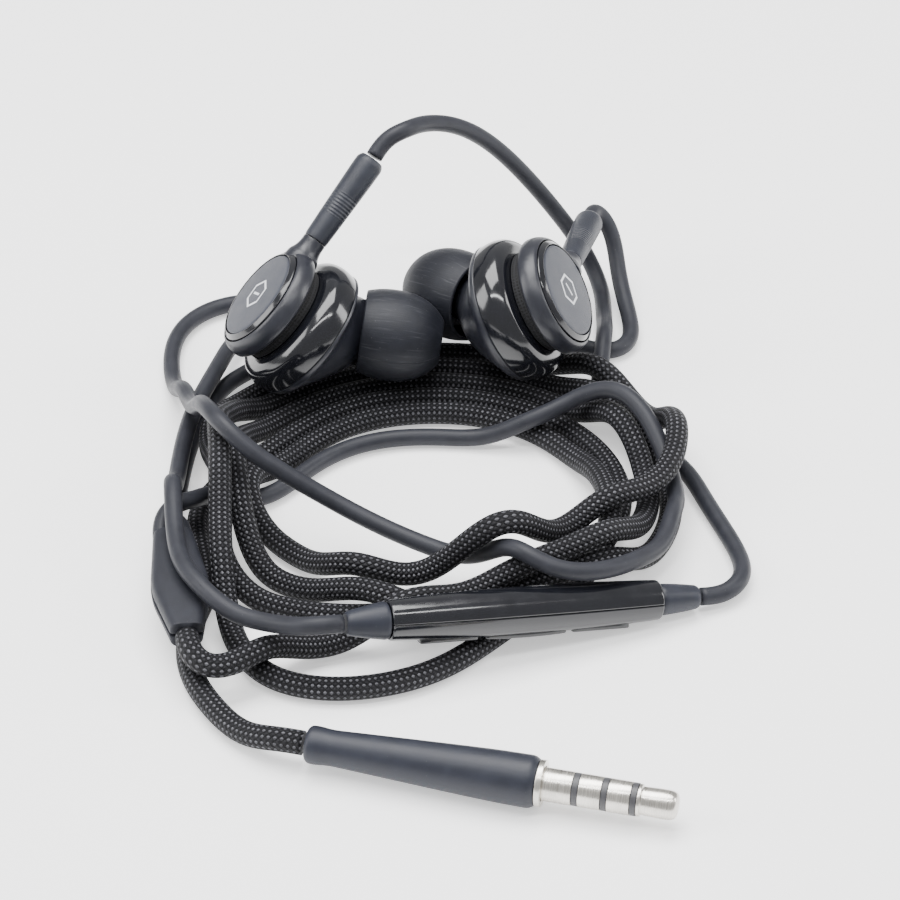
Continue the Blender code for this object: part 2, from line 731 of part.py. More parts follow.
def splitter_half(name, unit, sign):
    """Half of the splitter: its outline drawn flat, thickened to one side and bevelled."""
    half_width = SPLITTER_WIDTH / 2
    port = RUBBER_D + 0.3
    outline = [
        (-port, 0.0),
        (-half_width, SPLITTER_LENGTH * 0.56),
        (-BRAID_D / 2 - 0.5, SPLITTER_LENGTH),
        (BRAID_D / 2 + 0.5, SPLITTER_LENGTH),
        (half_width, SPLITTER_LENGTH * 0.56),
        (port, 0.0),
    ]
    bm = bmesh.new()
    near = sign * FIT / 2
    face = bm.faces.new([bm.verts.new((x * MM, y * MM, near * MM)) for x, y in outline])
    raised = bmesh.ops.extrude_face_region(bm, geom=[face])
    lifted = [v for v in raised["geom"] if isinstance(v, bmesh.types.BMVert)]
    depth = sign * (SPLITTER_THICK - FIT) / 2
    bmesh.ops.translate(bm, vec=(0, 0, depth * MM), verts=lifted)
    slope = 0.86
    middle = SPLITTER_LENGTH * 0.5 * MM
    for vert in lifted:
        vert.co.x *= slope
        vert.co.y = middle + (vert.co.y - middle) * (1 - (1 - slope) * 0.25)
    obj = mesh_object(name, bm)
    edge = obj.modifiers.new("edge", "BEVEL")
    edge.width = 0.35 * MM
    edge.segments = 2
    edge.limit_method = "ANGLE"
    edge.angle_limit = math.radians(40)
    put(obj, "satin_grey", unit)
    return obj


def build_splitter():
    place, turn = splitter_frame()
    unit = empty("splitter", place, turn)
    unit.parent = SCENE["root"]
    ferrule = [(0, 2.4), (1.25, 2.4), (1.25, -2.4), (0, -2.4)]
    along_y = Matrix.Rotation(math.radians(90), 3, "X")
    middle = (0, SPLITTER_LENGTH * 0.5, 0)
    for name, sign in (("splitter_upper_half", 1), ("splitter_lower_half", -1)):
        half = splitter_half(name, unit, sign)
        room = [(0, 2.4 + FIT), (1.25 + FIT, 2.4 + FIT), (1.25 + FIT, -2.4 - FIT), (0, -2.4 - FIT)]
        pocket = turned(f"{name}_pocket", room, INNER_STEPS, closed=False)
        put(pocket, "satin_grey", unit, middle, along_y, group="cutters")
        cut(half, pocket, "DIFFERENCE")
    crimp = turned("splitter_crimp", ferrule, INNER_STEPS, closed=False)
    put(crimp, "steel", unit, middle, along_y)


# ---------------------------------------------------------------- plug
def build_plug():
    """x = 0 at the handle's front face, +x out along the jack."""
    turn = Matrix.Rotation(math.radians(PLUG["heading"]), 3, "Z")
    plug = empty("plug", PLUG["place"], turn)
    plug.parent = SCENE["root"]
    tip_end = COLLAR_LENGTH + SEAM + JACK_LENGTH
    handle = [
        (0, 0),
        (HANDLE_R - 0.4, 0),
        (HANDLE_R, -0.6),
        (HANDLE_R - 0.04, -HANDLE_LENGTH * 0.18),
        (HANDLE_R - 0.3, -HANDLE_LENGTH * 0.42),
        (HANDLE_END_R + 0.05, -HANDLE_LENGTH * 0.75),
        (HANDLE_END_R - 0.12, -HANDLE_LENGTH + 2.4),
        (HANDLE_END_R + 0.02, -HANDLE_LENGTH + 1.2),
        (HANDLE_END_R, -HANDLE_LENGTH + 0.35),
        (HANDLE_END_R - 0.35, -HANDLE_LENGTH),
        (0, -HANDLE_LENGTH),
    ]
    grip = turned("plug_handle", handle, OUTER_STEPS, closed=False)
    put(grip, "soft_black", plug, rotation=ALONG_X)
    bore = CORE_R + FIT
    collar = [
        (COLLAR_R, COLLAR_LENGTH + SEAM),
        (COLLAR_R, SEAM),
        (JACK_R + FIT, SEAM),
        (JACK_R + FIT, COLLAR_LENGTH + SEAM),
    ]
    put(turned("plug_collar", collar, OUTER_STEPS), "steel", plug, rotation=ALONG_X)
    x = SEAM
    pieces = (
        ("jack_sleeve", COLLAR_LENGTH + SEAM + JACK_SLEEVE, "jack_metal"),
        ("jack_insulator_1", INSULATOR, "insulator"),
        ("jack_ring_2", JACK_RING, "jack_metal"),
        ("jack_insulator_2", INSULATOR, "insulator"),
        ("jack_ring_1", JACK_RING, "jack_metal"),
        ("jack_insulator_3", INSULATOR, "insulator"),
    )
    for name, length, finish in pieces:
        radius = JACK_R if finish == "jack_metal" else JACK_R - 0.04
        tube = [(radius, x + length), (radius, x), (bore, x), (bore, x + length)]
        put(turned(name, tube, OUTER_STEPS), finish, plug, rotation=ALONG_X)
        x += length + SEAM
    tip = [
        (0, tip_end),
        (JACK_R * 0.5, tip_end - 0.08),
        (JACK_R * 0.76, tip_end - 0.35),
        (JACK_R * 0.87, tip_end - 0.9),
        (JACK_R * 0.88, tip_end - 2.0),
        (JACK_R * 0.84, x + 0.55),
        (JACK_R * 0.84, x + 0.4),
        (JACK_R * 0.96, x + 0.3),
        (JACK_R * 0.96, x),
        (CORE_R, x),
        (CORE_R, SEAM),
        (0, SEAM),
    ]
    put(turned("jack_tip", tip, OUTER_STEPS, closed=False), "jack_metal", plug, rotation=ALONG_X)


# ---------------------------------------------------------------- cords
def smooth(points):
    """A natural cubic through the points, every column of them, finely sampled."""
    points = np.asarray(points, float)
    chords = np.linalg.norm(np.diff(points[:, :2], axis=0), axis=1)
    knots = np.concatenate([[0.0], np.cumsum(chords**0.75)])
    n = len(knots)
    h = np.diff(knots)
    system = np.eye(n)
    right = np.zeros_like(points)
    for i in range(1, n - 1):
        system[i, i - 1 : i + 2] = h[i - 1], 2 * (h[i - 1] + h[i]), h[i]
        right[i] = 6 * ((points[i + 1] - points[i]) / h[i] - (points[i] - points[i - 1]) / h[i - 1])
    bend = np.linalg.solve(system, right)
    at = np.linspace(0.0, knots[-1], 40 * n)
    k = np.clip(np.searchsorted(knots, at, side="right") - 1, 0, n - 2)
    u = (at - knots[k])[:, None]
    w = (knots[k + 1] - at)[:, None]
    s = h[k][:, None]
    curve = (bend[k] * w**3 + bend[k + 1] * u**3) / (6 * s)
    curve += (points[k] / s - bend[k] * s / 6) * w
    curve += (points[k + 1] / s - bend[k + 1] * s / 6) * u
    return curve


def spaced(curve, step):
    """The same curve as points an equal way apart, about one step."""
    ways = np.linalg.norm(np.diff(curve[:, :3], axis=0), axis=1)
    along = np.concatenate([[0.0], np.cumsum(ways)])
    count = max(2, int(round(along[-1] / step)) + 1)
    at = np.linspace(0.0, along[-1], count)
    return np.column_stack([np.interp(at, along, curve[:, j]) for j in range(curve.shape[1])])


def coil_points():
    """The turns of the braided cord, worked out turn by turn from the reach table."""
    points = []
    for turn, (reach, layers) in enumerate(zip(COIL_REACH, COIL_LAYERS)):
        for k, radius in enumerate(reach):
            angle = math.radians(COIL_START_DEG + COIL_STEP_DEG * k)
            x = COIL_MIDDLE[0] + radius * math.cos(angle)
            y = COIL_MIDDLE[1] + radius * math.sin(angle)
            part = 0 if k < LEFT_KNOTS else 1 if k < RIGHT_KNOTS else 2
            points.append((x, y, BRAID_D / 2, layers[part]))
    return points


def route(points, step):
    """A cord's points at one step: x, y and z smooth, the layer by the nearest point."""
    points = np.asarray(points, float)
    number = np.arange(len(points), dtype=float)[:, None]
    curve = spaced(smooth(np.hstack([points[:, :3], number])), step)
    nearest = np.clip(np.round(curve[:, 3]).astype(int), 0, len(points) - 1)
    curve[:, 3] = points[nearest, 3]
    return curve


def crossings(cords):
    """Each pair of points where one strand lies over another, and the height between them."""
    plan = np.vstack([cord[:, :2] for cord, _ in cords])
    layer = np.concatenate([cord[:, 3] for cord, _ in cords])
    radius = np.concatenate([np.full(len(cord), r) for cord, r in cords])
    owner = np.concatenate([np.full(len(cord), k) for k, (cord, _) in enumerate(cords)])
    index = np.arange(len(plan))
    touch = radius[:, None] + radius[None, :]
    apart = ((plan[:, None, :] - plan[None, :, :]) ** 2).sum(axis=2)
    near = (owner[:, None] == owner[None, :]) & (
        np.abs(index[:, None] - index[None, :]) * SAMPLE < OWN_CLEAR
    )
    over = (layer[:, None] > layer[None, :]) & (apart < (touch + BESIDE_GAP) ** 2) & ~near
    upper, lower = np.nonzero(over)
    order = np.argsort(layer[upper], kind="stable")
    upper, lower = upper[order], lower[order]
    rise = np.sqrt((touch[upper, lower] + REST_GAP) ** 2 - apart[upper, lower])
    return upper, lower, rise


def lay_cords(cords):
    """Let the strands sink onto the table and each other, as stiff as real cords are."""
    upper, lower, rise = crossings(cords)
    floor = np.concatenate([np.maximum(cord[:, 2], radius) for cord, radius in cords])
    ends = np.cumsum([len(cord) for cord, _ in cords])[:-1]
    height = floor.copy()
    for _ in range(SETTLING_STEPS):
        for strand in np.split(height, ends):
            near = strand[1:-3] + strand[3:-1]
            far = strand[:-4] + strand[4:]
            strand[2:-2] += 0.5 * ((4 * near - far) / 6 - strand[2:-2]) - SINK
        np.maximum(height, floor, out=height)
        for _ in range(2):
            np.maximum.at(height, upper, height[lower] + rise)
    for (cord, _), strand in zip(cords, np.split(height, ends)):
        cord[:, 2] = strand


def tube(name, points, diameter, finish):
    """A plain cord solid: a poly spline through points in millimetres, with round caps."""
    curve = bpy.data.curves.new(name, "CURVE")
    curve.dimensions = "3D"
    curve.resolution_u = 1
    curve.render_resolution_u = 0
    curve.bevel_depth = diameter / 2 * MM
    curve.bevel_resolution = 2
    curve.use_fill_caps = True
    spline = curve.splines.new("POLY")
    spline.points.add(len(points) - 1)
    for point, (x, y, z) in zip(spline.points, points):
        point.co = (x * MM, y * MM, z * MM, 1.0)
    put(bpy.data.objects.new(name, curve), finish, SCENE["root"])


def stem_exit(pose):
    """Where a bud's cord leaves its stem, just past the sleeve's end, and its direction."""
    turn = frame_of(heading(*pose["out"]), heading(*pose["stem"]))
    end = Vector(pose["place"]) + turn @ Vector((0, STEM_END + GAP, STEM_Z))
    ahead = end + turn @ Vector((0, 3.0, 0))
    return end, ahead


def remote_exit(sign):
    left, right = Vector(REMOTE["left"]), Vector(REMOTE["right"])
    along = (right - left).normalized() * sign
    reach = BODY_LENGTH / 2 + FIT + RELIEF_LENGTH + GAP
    end = (left + right) / 2 + along * reach
    return end, end + along * 3.0


def splitter_exit(x, y):
    """A point outside the splitter on the line of one of its cords."""
    place, turn = splitter_frame()
    return place + turn @ Vector((x, y, 0))


def plug_exit(reach):
    back = Matrix.Rotation(math.radians(PLUG["heading"]), 3, "Z") @ Vector((-1, 0, 0))
    return Vector(PLUG["place"]) + back * (HANDLE_LENGTH + reach)


def build_cords():
    port = RUBBER_D / 2 + 0.2
    mouth = SPLITTER_LENGTH + GAP
    left_stem = [(*p, FREE) for p in stem_exit(LEFT_BUD)]
    right_stem = [(*p, FREE) for p in stem_exit(RIGHT_BUD)]
    into_remote = [(*p, 0.5) for p in reversed(remote_exit(1))]
    out_of_remote = [(*p, 8.0) for p in remote_exit(-1)]
    left_port = [(*splitter_exit(-port, -GAP - k), 1.4) for k in (2.0, 0.0)]
    right_port = [(*splitter_exit(port, -GAP - k), 1.5) for k in (2.0, 0.0)]
    plug_end = [(*plug_exit(GAP + k), 0.0) for k in (0.0, 3.0)]
    run = [(x, y, BRAID_D / 2, 0.0) for x, y in PLUG_RUN]
    splitter_mouth = [(*splitter_exit(0, mouth + k), 7.0) for k in (2.5, 0.0)]
    coil_end = [(x, y, BRAID_D / 2, 7.0) for x, y in COIL_END]
    cords = {
        "left_bud_cord": (left_stem + list(LEFT_CORD) + into_remote, RUBBER_D),
        "remote_cord": (out_of_remote + list(REMOTE_CORD) + left_port, RUBBER_D),
        "right_bud_cord": (right_stem + list(RIGHT_CORD) + right_port, RUBBER_D),
        "braided_cord": (plug_end + run + coil_points() + coil_end + splitter_mouth, BRAID_D),
    }
    laid = {}
    for name, (points, diameter) in cords.items():
        laid[name] = (route(points, SAMPLE), diameter / 2)
    lay_cords(list(laid.values()))
    for name, (cord, radius) in laid.items():
        every = RUBBER_POINT_EVERY if radius < BRAID_D / 2 else BRAID_POINT_EVERY
        points = spaced(cord[:, :3], every)
        tube(name, points, 2 * radius, "braid" if name == "braided_cord" else "rubber_grey")


SCENE = {}
FINISH = {}


def main():
    clear_scene()
    SCENE["parts"] = collection("wired_earphones")
    SCENE["cutters"] = collection("cutters")
    FINISH["soft_black"] = material("soft_black", (0.045, 0.048, 0.055), 0.55)
    FINISH["satin_black"] = material("satin_black", (0.035, 0.037, 0.043), 0.38)
    FINISH["gloss_black"] = material("gloss_black", (0.02, 0.021, 0.025), 0.12)
    FINISH["mesh_black"] = material("mesh_black", (0.01, 0.01, 0.011), 0.9)
    FINISH["silicone"] = material("silicone", (0.04, 0.042, 0.048), 0.6)
    FINISH["satin_grey"] = material("satin_grey", (0.07, 0.073, 0.08), 0.5)
    FINISH["rubber_grey"] = material("rubber_grey", (0.08, 0.083, 0.09), 0.45)
    FINISH["braid"] = material("braid", (0.02, 0.02, 0.022), 0.7)
    FINISH["steel"] = material("steel", (0.6, 0.6, 0.6), 0.35, 1.0)
    FINISH["jack_metal"] = material("jack_metal", (0.78, 0.76, 0.72), 0.25, 1.0)
    FINISH["insulator"] = material("insulator", (0.03, 0.03, 0.03), 0.5)
    FINISH["membrane"] = material("membrane", (0.5, 0.45, 0.3), 0.4)
    FINISH["board"] = material("board", (0.02, 0.12, 0.05), 0.5)
    root = bpy.data.objects.new("layout", None)
    root.location = (-FOOTPRINT_MIDDLE[0] * MM, -FOOTPRINT_MIDDLE[1] * MM, 0.0)
    SCENE["parts"].objects.link(root)
    SCENE["root"] = root
    build_bud("left", LEFT_BUD, 1)
    build_bud("right", RIGHT_BUD, -1)
    build_remote()
    build_splitter()
    build_plug()
    build_cords()


main()
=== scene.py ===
import math

import bmesh
import bpy
import numpy as np
from mathutils import Matrix


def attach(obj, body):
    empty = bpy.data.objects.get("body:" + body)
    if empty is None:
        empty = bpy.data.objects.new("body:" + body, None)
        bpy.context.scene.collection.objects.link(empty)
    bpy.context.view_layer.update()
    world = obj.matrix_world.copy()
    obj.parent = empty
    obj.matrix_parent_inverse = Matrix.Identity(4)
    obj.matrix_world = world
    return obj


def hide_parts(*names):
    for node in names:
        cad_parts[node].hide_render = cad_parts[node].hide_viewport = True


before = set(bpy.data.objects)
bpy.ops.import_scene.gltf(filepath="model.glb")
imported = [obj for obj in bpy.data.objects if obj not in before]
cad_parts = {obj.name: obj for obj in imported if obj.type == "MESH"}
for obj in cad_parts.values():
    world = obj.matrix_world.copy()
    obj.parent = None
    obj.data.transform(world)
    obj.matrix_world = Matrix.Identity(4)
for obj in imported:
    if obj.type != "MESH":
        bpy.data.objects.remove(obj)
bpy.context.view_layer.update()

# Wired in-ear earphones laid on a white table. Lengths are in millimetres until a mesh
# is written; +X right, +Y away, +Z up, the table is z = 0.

MM = 0.001
FOOTPRINT_MIDDLE = np.array((2.85, 5.55, 0.0))

# ---- bud
FACE_R, FACE_TOP_Z, FACE_THICK = 5.5, 6.95, 1.1
BEZEL_WIDTH, BEZEL_DROP = 0.6, 0.42
DRUM_REAR_Z, DRUM_NECK_STEP = 4.1, 0.5
DRUM_NECK_R = FACE_R - DRUM_NECK_STEP
DRUM_WALL = 0.85
RING_R, RING_FRONT_Z, PARTING_Z = 8.5, 2.7, -0.95
STEM_Z, STEM_NECK_R, STEM_NECK_END, STEM_END, STEM_R = 4.95, 1.42, 9.0, 20.7, 1.72
NOZZLE_DIR = np.array((0.38, 0.45, -0.81))
NOZZLE_BASE = np.array((1.45, 3.8, -5.7))
NOZZLE_R, NOZZLE_BORE_R, NOZZLE_LENGTH, CONE_END_R = 2.3, 1.75, 5.6, 3.7
TIP_R, TIP_LENGTH, TIP_BORE_R = 5.4, 9.6, 2.7

# ---- remote, plug, splitter, cords
BODY_LENGTH, BODY_R, BODY_END_R, RELIEF_LENGTH = 31.0, 2.55, 2.2, 4.6
KEY_LENGTHS, KEY_GAP, KEY_WIDTH, KEY_PROUD = (6.6, 9.4, 6.6), 0.7, 2.0, 0.25
KEYS_START = -(sum(KEY_LENGTHS) + 2 * KEY_GAP) / 2
JACK_R, JACK_LENGTH, JACK_SLEEVE, JACK_RING, INSULATOR = 1.75, 14.0, 3.0, 2.3, 0.6
HANDLE_LENGTH, HANDLE_R, HANDLE_END_R, COLLAR_R, COLLAR_LENGTH = 24.4, 2.75, 2.0, 2.45, 0.6
SEAM = 0.06
SPLITTER_LENGTH, SPLITTER_WIDTH, SPLITTER_THICK = 16.4, 6.6, 3.8
RUBBER_D, BRAID_D = 2.0, 2.6
FIT, GAP = 0.1, 0.4

LEFT_BUD = {"place": (-15.0, 20.9, 9.9), "out": (179.2, 43.2), "stem": (44.6, 36.8)}
RIGHT_BUD = {"place": (10.1, 23.1, 11.0), "out": (-9.4, 30.3), "stem": (76.1, -7.6)}
REMOTE = {"left": (-10.0, -31.0, 8.2), "right": (30.5, -18.1, 1.5), "roll": -22.0}
SPLITTER = {"top": (-28.2, -12.4, 5.0), "bottom": (-25.7, -28.6, 4.8), "roll": -3.0}
PLUG = {"place": (11.2, -49.6, 2.75), "heading": -14.1}

# ---- camera
CAMERA_PLACE = (2.272, -315.694, 245.716)
CAMERA_DOWN = 37.0
CAMERA_LENS = 140.84

# ---- how the cords lie, as in the part
COIL_MIDDLE = (0.0, -3.0)
COIL_START_DEG = 210.0
COIL_STEP_DEG = -30.0
COIL_REACH = (
    (28.2, 25.9, 21.9, 21.8, 21.8, 22.2, 22.4, 21.4, 18.6, 16.3, 17.0, 21.0),
    (25.4, 23.2, 29.2, 30.7, 30.9, 31.6, 30.6, 26.0, 17.0, 16.9, 14.2, 15.8),
    (16.5, 20.5, 19.0, 18.9, 18.9, 19.3, 19.4, 20.0, 21.2, 20.9, 27.8, 33.0),
    (26.2, 23.3, 26.8, 27.7, 27.8, 28.0, 27.6, 27.2, 24.0, 19.0, 19.7, 18.4),
    (21.4, 21.7, 24.4, 24.7, 24.8, 25.1, 25.0, 24.6, 22.7, 19.4, 20.8, 28.4),
)
COIL_LAYERS = (  # which strand lies over which: the left, back and right, and front of a turn
    (1.0, 1.0, 1.0),
    (2.0, 6.0, 6.0),
    (3.0, 2.0, 2.0),
    (6.0, 3.0, 3.0),
    (4.0, 4.0, 7.0),
)
LEFT_KNOTS = 4
RIGHT_KNOTS = 10
PLUG_RUN = ((-19.2, -40.6), (-22.4, -36.7), (-24.9, -31.9), (-25.9, -27.0), (-25.4, -21.5))
COIL_END = ((-18.7, -31.2), (-22.8, -33.2))

# ---- the rubber cords: x, y, lowest z, layer
FREE = 99.0  # the layer of a stretch that stands clear of everything
LEFT_CORD = (
    (-3.8, 34.4, 28.2, FREE),
    (-1.5, 37.1, 27.6, FREE),
    (1.4, 39.8, 26.2, FREE),
    (4.7, 42.2, 23.6, FREE),
    (8.3, 44.1, 19.6, FREE),
    (12.0, 45.3, 14.6, FREE),
    (15.7, 45.8, 9.2, FREE),
    (18.6, 45.3, 4.8, FREE),
    (20.4, 43.2, 1.8, 0.5),
    (21.0, 37.5, 1.0, 0.5),
    (20.8, 30.0, 1.0, 0.5),
    (20.0, 23.0, 1.0, 0.5),
    (20.2, 17.8, 1.0, 0.5),
    (22.7, 13.9, 1.0, 0.5),
    (26.0, 9.4, 1.0, 0.5),
    (28.7, 6.2, 1.0, 0.5),
    (31.2, -0.4, 1.0, 0.5),
    (33.3, -6.7, 1.0, 0.5),
    (34.6, -12.0, 1.1, 0.5),
    (34.0, -16.0, 1.6, 0.5),
)
REMOTE_CORD = (
    (-15.5, -30.0, 6.4, 8.0),
    (-20.0, -27.9, 6.4, 8.0),
    (-24.1, -24.6, 7.9, 8.0),
    (-26.5, -20.6, 8.0, 8.0),
    (-27.6, -15.6, 8.0, 8.0),
    (-28.2, -9.3, 7.4, 8.0),
    (-28.6, -3.6, 3.4, 8.0),
    (-28.4, 5.3, 3.3, 8.0),
    (-27.5, 13.1, 3.3, 8.0),
    (-25.9, 19.4, 3.3, 8.0),
    (-24.5, 25.1, 3.0, 8.0),
    (-22.8, 30.6, 1.8, 8.0),
    (-19.6, 33.2, 1.0, 0.1),
    (-17.2, 30.6, 1.0, 0.1),
    (-19.4, 26.6, 1.0, 0.1),
    (-23.8, 22.4, 1.0, 0.1),
    (-26.2, 17.0, 1.0, 0.1),
    (-27.6, 11.0, 1.0, 0.1),
    (-28.4, 4.0, 1.0, 0.1),
    (-28.8, -2.0, 1.3, 1.4),
    (-28.8, -7.0, 3.2, 1.4),
)
RIGHT_CORD = (
    (21.5, 45.3, 8.6, FREE),
    (22.4, 44.0, 6.4, FREE),
    (22.8, 41.8, 4.2, FREE),
    (23.5, 38.3, 2.2, FREE),
    (24.2, 33.9, 1.2, 0.2),
    (23.8, 30.5, 1.0, 0.2),
    (21.7, 28.6, 1.0, 0.2),
    (17.5, 30.0, 1.0, 0.2),
    (10.0, 33.2, 1.0, 0.2),
    (2.0, 36.2, 1.0, 0.2),
    (-8.0, 38.0, 1.0, 0.2),
    (-18.0, 39.2, 1.0, 0.2),
    (-25.2, 38.5, 1.0, 0.2),
    (-29.3, 35.0, 1.0, 0.2),
    (-31.0, 29.5, 1.0, 0.2),
    (-30.2, 21.0, 1.0, 9.0),
    (-26.5, 6.9, 8.6, 9.0),
    (-22.5, -4.2, 13.2, 9.0),
    (-17.8, -6.6, 11.0, 9.0),
    (-13.4, -7.4, 8.3, 9.0),
    (-8.8, -8.9, 6.2, 9.0),
    (-3.2, -11.5, 4.8, 4.5),
    (2.3, -14.1, 4.2, 4.5),
    (7.4, -18.0, 5.6, 4.5),
    (12.5, -21.8, 8.0, 4.5),
    (18.4, -21.3, 7.6, 4.5),
    (23.0, -17.3, 6.2, 4.5),
    (26.0, -11.6, 4.6, 4.5),
    (27.5, -5.1, 3.0, 4.5),
    (27.6, -4.4, 1.4, 4.5),
    (27.0, 1.4, 1.0, 4.5),
    (25.2, 6.2, 1.0, 4.5),
    (22.4, 10.4, 1.0, 4.5),
    (18.0, 12.6, 1.0, 4.5),
    (13.0, 11.4, 1.0, 4.5),
    (7.5, 11.0, 1.0, 4.5),
    (0.0, 11.6, 1.0, 0.0),
    (-7.5, 10.4, 1.0, 0.0),
    (-13.2, 6.3, 1.0, 1.5),
    (-17.4, 1.2, 1.0, 1.5),
    (-21.5, -1.4, 1.0, 1.5),
    (-25.2, -3.6, 1.8, 1.5),
    (-26.4, -7.4, 3.4, 1.5),
)
SAMPLE = 1.0  # spacing of the points that the heights are worked out on
REST_GAP = 0.5  # air left between two strands that cross
BESIDE_GAP = 0.05  # air left between two strands that lie side by side
OWN_CLEAR = 12.0  # a strand takes no notice of itself nearer than this along it
SETTLING_STEPS = 5000
SINK = 0.002  # how far a strand sinks in each step where nothing holds it


# ---------------------------------------------------------------- how cords lie
def smooth(points):
    """A natural cubic through the points, every column of them, finely sampled."""
    points = np.asarray(points, float)
    chords = np.linalg.norm(np.diff(points[:, :2], axis=0), axis=1)
    knots = np.concatenate([[0.0], np.cumsum(chords**0.75)])
    n = len(knots)
    h = np.diff(knots)
    system = np.eye(n)
    right = np.zeros_like(points)
    for i in range(1, n - 1):
        system[i, i - 1 : i + 2] = h[i - 1], 2 * (h[i - 1] + h[i]), h[i]
        right[i] = 6 * ((points[i + 1] - points[i]) / h[i] - (points[i] - points[i - 1]) / h[i - 1])
    bend = np.linalg.solve(system, right)
    at = np.linspace(0.0, knots[-1], 40 * n)
    k = np.clip(np.searchsorted(knots, at, side="right") - 1, 0, n - 2)
    u = (at - knots[k])[:, None]
    w = (knots[k + 1] - at)[:, None]
    s = h[k][:, None]
    curve = (bend[k] * w**3 + bend[k + 1] * u**3) / (6 * s)
    curve += (points[k] / s - bend[k] * s / 6) * w
    curve += (points[k + 1] / s - bend[k + 1] * s / 6) * u
    return curve


def spaced(curve, step):
    """The same curve as points an equal way apart, about one step."""
    ways = np.linalg.norm(np.diff(curve[:, :3], axis=0), axis=1)
    along = np.concatenate([[0.0], np.cumsum(ways)])
    count = max(2, int(round(along[-1] / step)) + 1)
    at = np.linspace(0.0, along[-1], count)
    return np.column_stack([np.interp(at, along, curve[:, j]) for j in range(curve.shape[1])])


def coil_points():
    """The turns of the braided cord, worked out turn by turn from the reach table."""
    points = []
    for reach, layers in zip(COIL_REACH, COIL_LAYERS):
        for k, radius in enumerate(reach):
            angle = math.radians(COIL_START_DEG + COIL_STEP_DEG * k)
            x = COIL_MIDDLE[0] + radius * math.cos(angle)
            y = COIL_MIDDLE[1] + radius * math.sin(angle)
            part = 0 if k < LEFT_KNOTS else 1 if k < RIGHT_KNOTS else 2
            points.append((x, y, BRAID_D / 2, layers[part]))
    return points


def route(points, step):
    """A cord's points at one step: x, y and z smooth, the layer by the nearest point."""
    points = np.asarray(points, float)
    number = np.arange(len(points), dtype=float)[:, None]
    curve = spaced(smooth(np.hstack([points[:, :3], number])), step)
    nearest = np.clip(np.round(curve[:, 3]).astype(int), 0, len(points) - 1)
    curve[:, 3] = points[nearest, 3]
    return curve


def crossings(cords):
    """Each pair of points where one strand lies over another, and the height between them."""
    plan = np.vstack([cord[:, :2] for cord, _ in cords])
    layer = np.concatenate([cord[:, 3] for cord, _ in cords])
    radius = np.concatenate([np.full(len(cord), r) for cord, r in cords])
    owner = np.concatenate([np.full(len(cord), k) for k, (cord, _) in enumerate(cords)])
    index = np.arange(len(plan))
    touch = radius[:, None] + radius[None, :]
    apart = ((plan[:, None, :] - plan[None, :, :]) ** 2).sum(axis=2)
    near = (owner[:, None] == owner[None, :]) & (
        np.abs(index[:, None] - index[None, :]) * SAMPLE < OWN_CLEAR
    )
    over = (layer[:, None] > layer[None, :]) & (apart < (touch + BESIDE_GAP) ** 2) & ~near
    upper, lower = np.nonzero(over)
    order = np.argsort(layer[upper], kind="stable")
    upper, lower = upper[order], lower[order]
    rise = np.sqrt((touch[upper, lower] + REST_GAP) ** 2 - apart[upper, lower])
    return upper, lower, rise


def lay_cords(cords):
    """Let the strands sink onto the table and each other, as stiff as real cords are."""
    upper, lower, rise = crossings(cords)
    floor = np.concatenate([np.maximum(cord[:, 2], radius) for cord, radius in cords])
    ends = np.cumsum([len(cord) for cord, _ in cords])[:-1]
    height = floor.copy()
    for _ in range(SETTLING_STEPS):
        for strand in np.split(height, ends):
            near = strand[1:-3] + strand[3:-1]
            far = strand[:-4] + strand[4:]
            strand[2:-2] += 0.5 * ((4 * near - far) / 6 - strand[2:-2]) - SINK
        np.maximum(height, floor, out=height)
        for _ in range(2):
            np.maximum.at(height, upper, height[lower] + rise)
    for (cord, _), strand in zip(cords, np.split(height, ends)):
        cord[:, 2] = strand


# ---------------------------------------------------------------- frames and meshes
def unit(v):
    """The vector divided by its length."""
    v = np.asarray(v, float)
    return v / np.linalg.norm(v)


def heading(degrees, rise):
    """Unit vector at a heading from +X towards +Y and a rise above the table."""
    a, b = math.radians(degrees), math.radians(rise)
    return np.array((math.cos(a) * math.cos(b), math.sin(a) * math.cos(b), math.sin(b)))


def frame_of(z_axis, y_axis):
    """Columns x, y, z of a frame whose z is z_axis and whose y is as near to y_axis as it can be."""
    z = unit(z_axis)
    y = unit(np.asarray(y_axis) - z * np.dot(z, y_axis))
    return np.column_stack((np.cross(y, z), y, z))


def turn_about(axis, degrees):
    """The matrix of a turn by so many degrees about the X, Y or Z axis."""
    c, s = math.cos(math.radians(degrees)), math.sin(math.radians(degrees))
    if axis == "X":
        return np.array(((1, 0, 0), (0, c, -s), (0, s, c)))
    if axis == "Y":
        return np.array(((c, 0, s), (0, 1, 0), (-s, 0, c)))
    return np.array(((c, -s, 0), (s, c, 0), (0, 0, 1)))


class Place:
    """A local frame in the row frame: turn's columns are its axes, at is its origin."""

    def __init__(self, at=(0, 0, 0), turn=np.eye(3)):
        self.at, self.turn = np.asarray(at, float), np.asarray(turn, float)

    def __call__(self, points):
        return np.asarray(points, float) @ self.turn.T + self.at

    def inner(self, at, turn=np.eye(3)):
        return Place(self(at), self.turn @ turn)


def without_poles(quads):
    """The quads as faces: one whose lower or upper edge has shrunk to a pole loses that
    edge's second corner, and one with both shrunk isn't a face."""
    low_pole, high_pole = quads[:, 0] == quads[:, 1], quads[:, 2] == quads[:, 3]
    whole = quads[~low_pole & ~high_pole]
    at_low, at_high = quads[low_pole & ~high_pole][:, [0, 2, 3]], quads[high_pole & ~low_pole][:, :3]
    return whole.tolist() + at_low.tolist() + at_high.tolist()


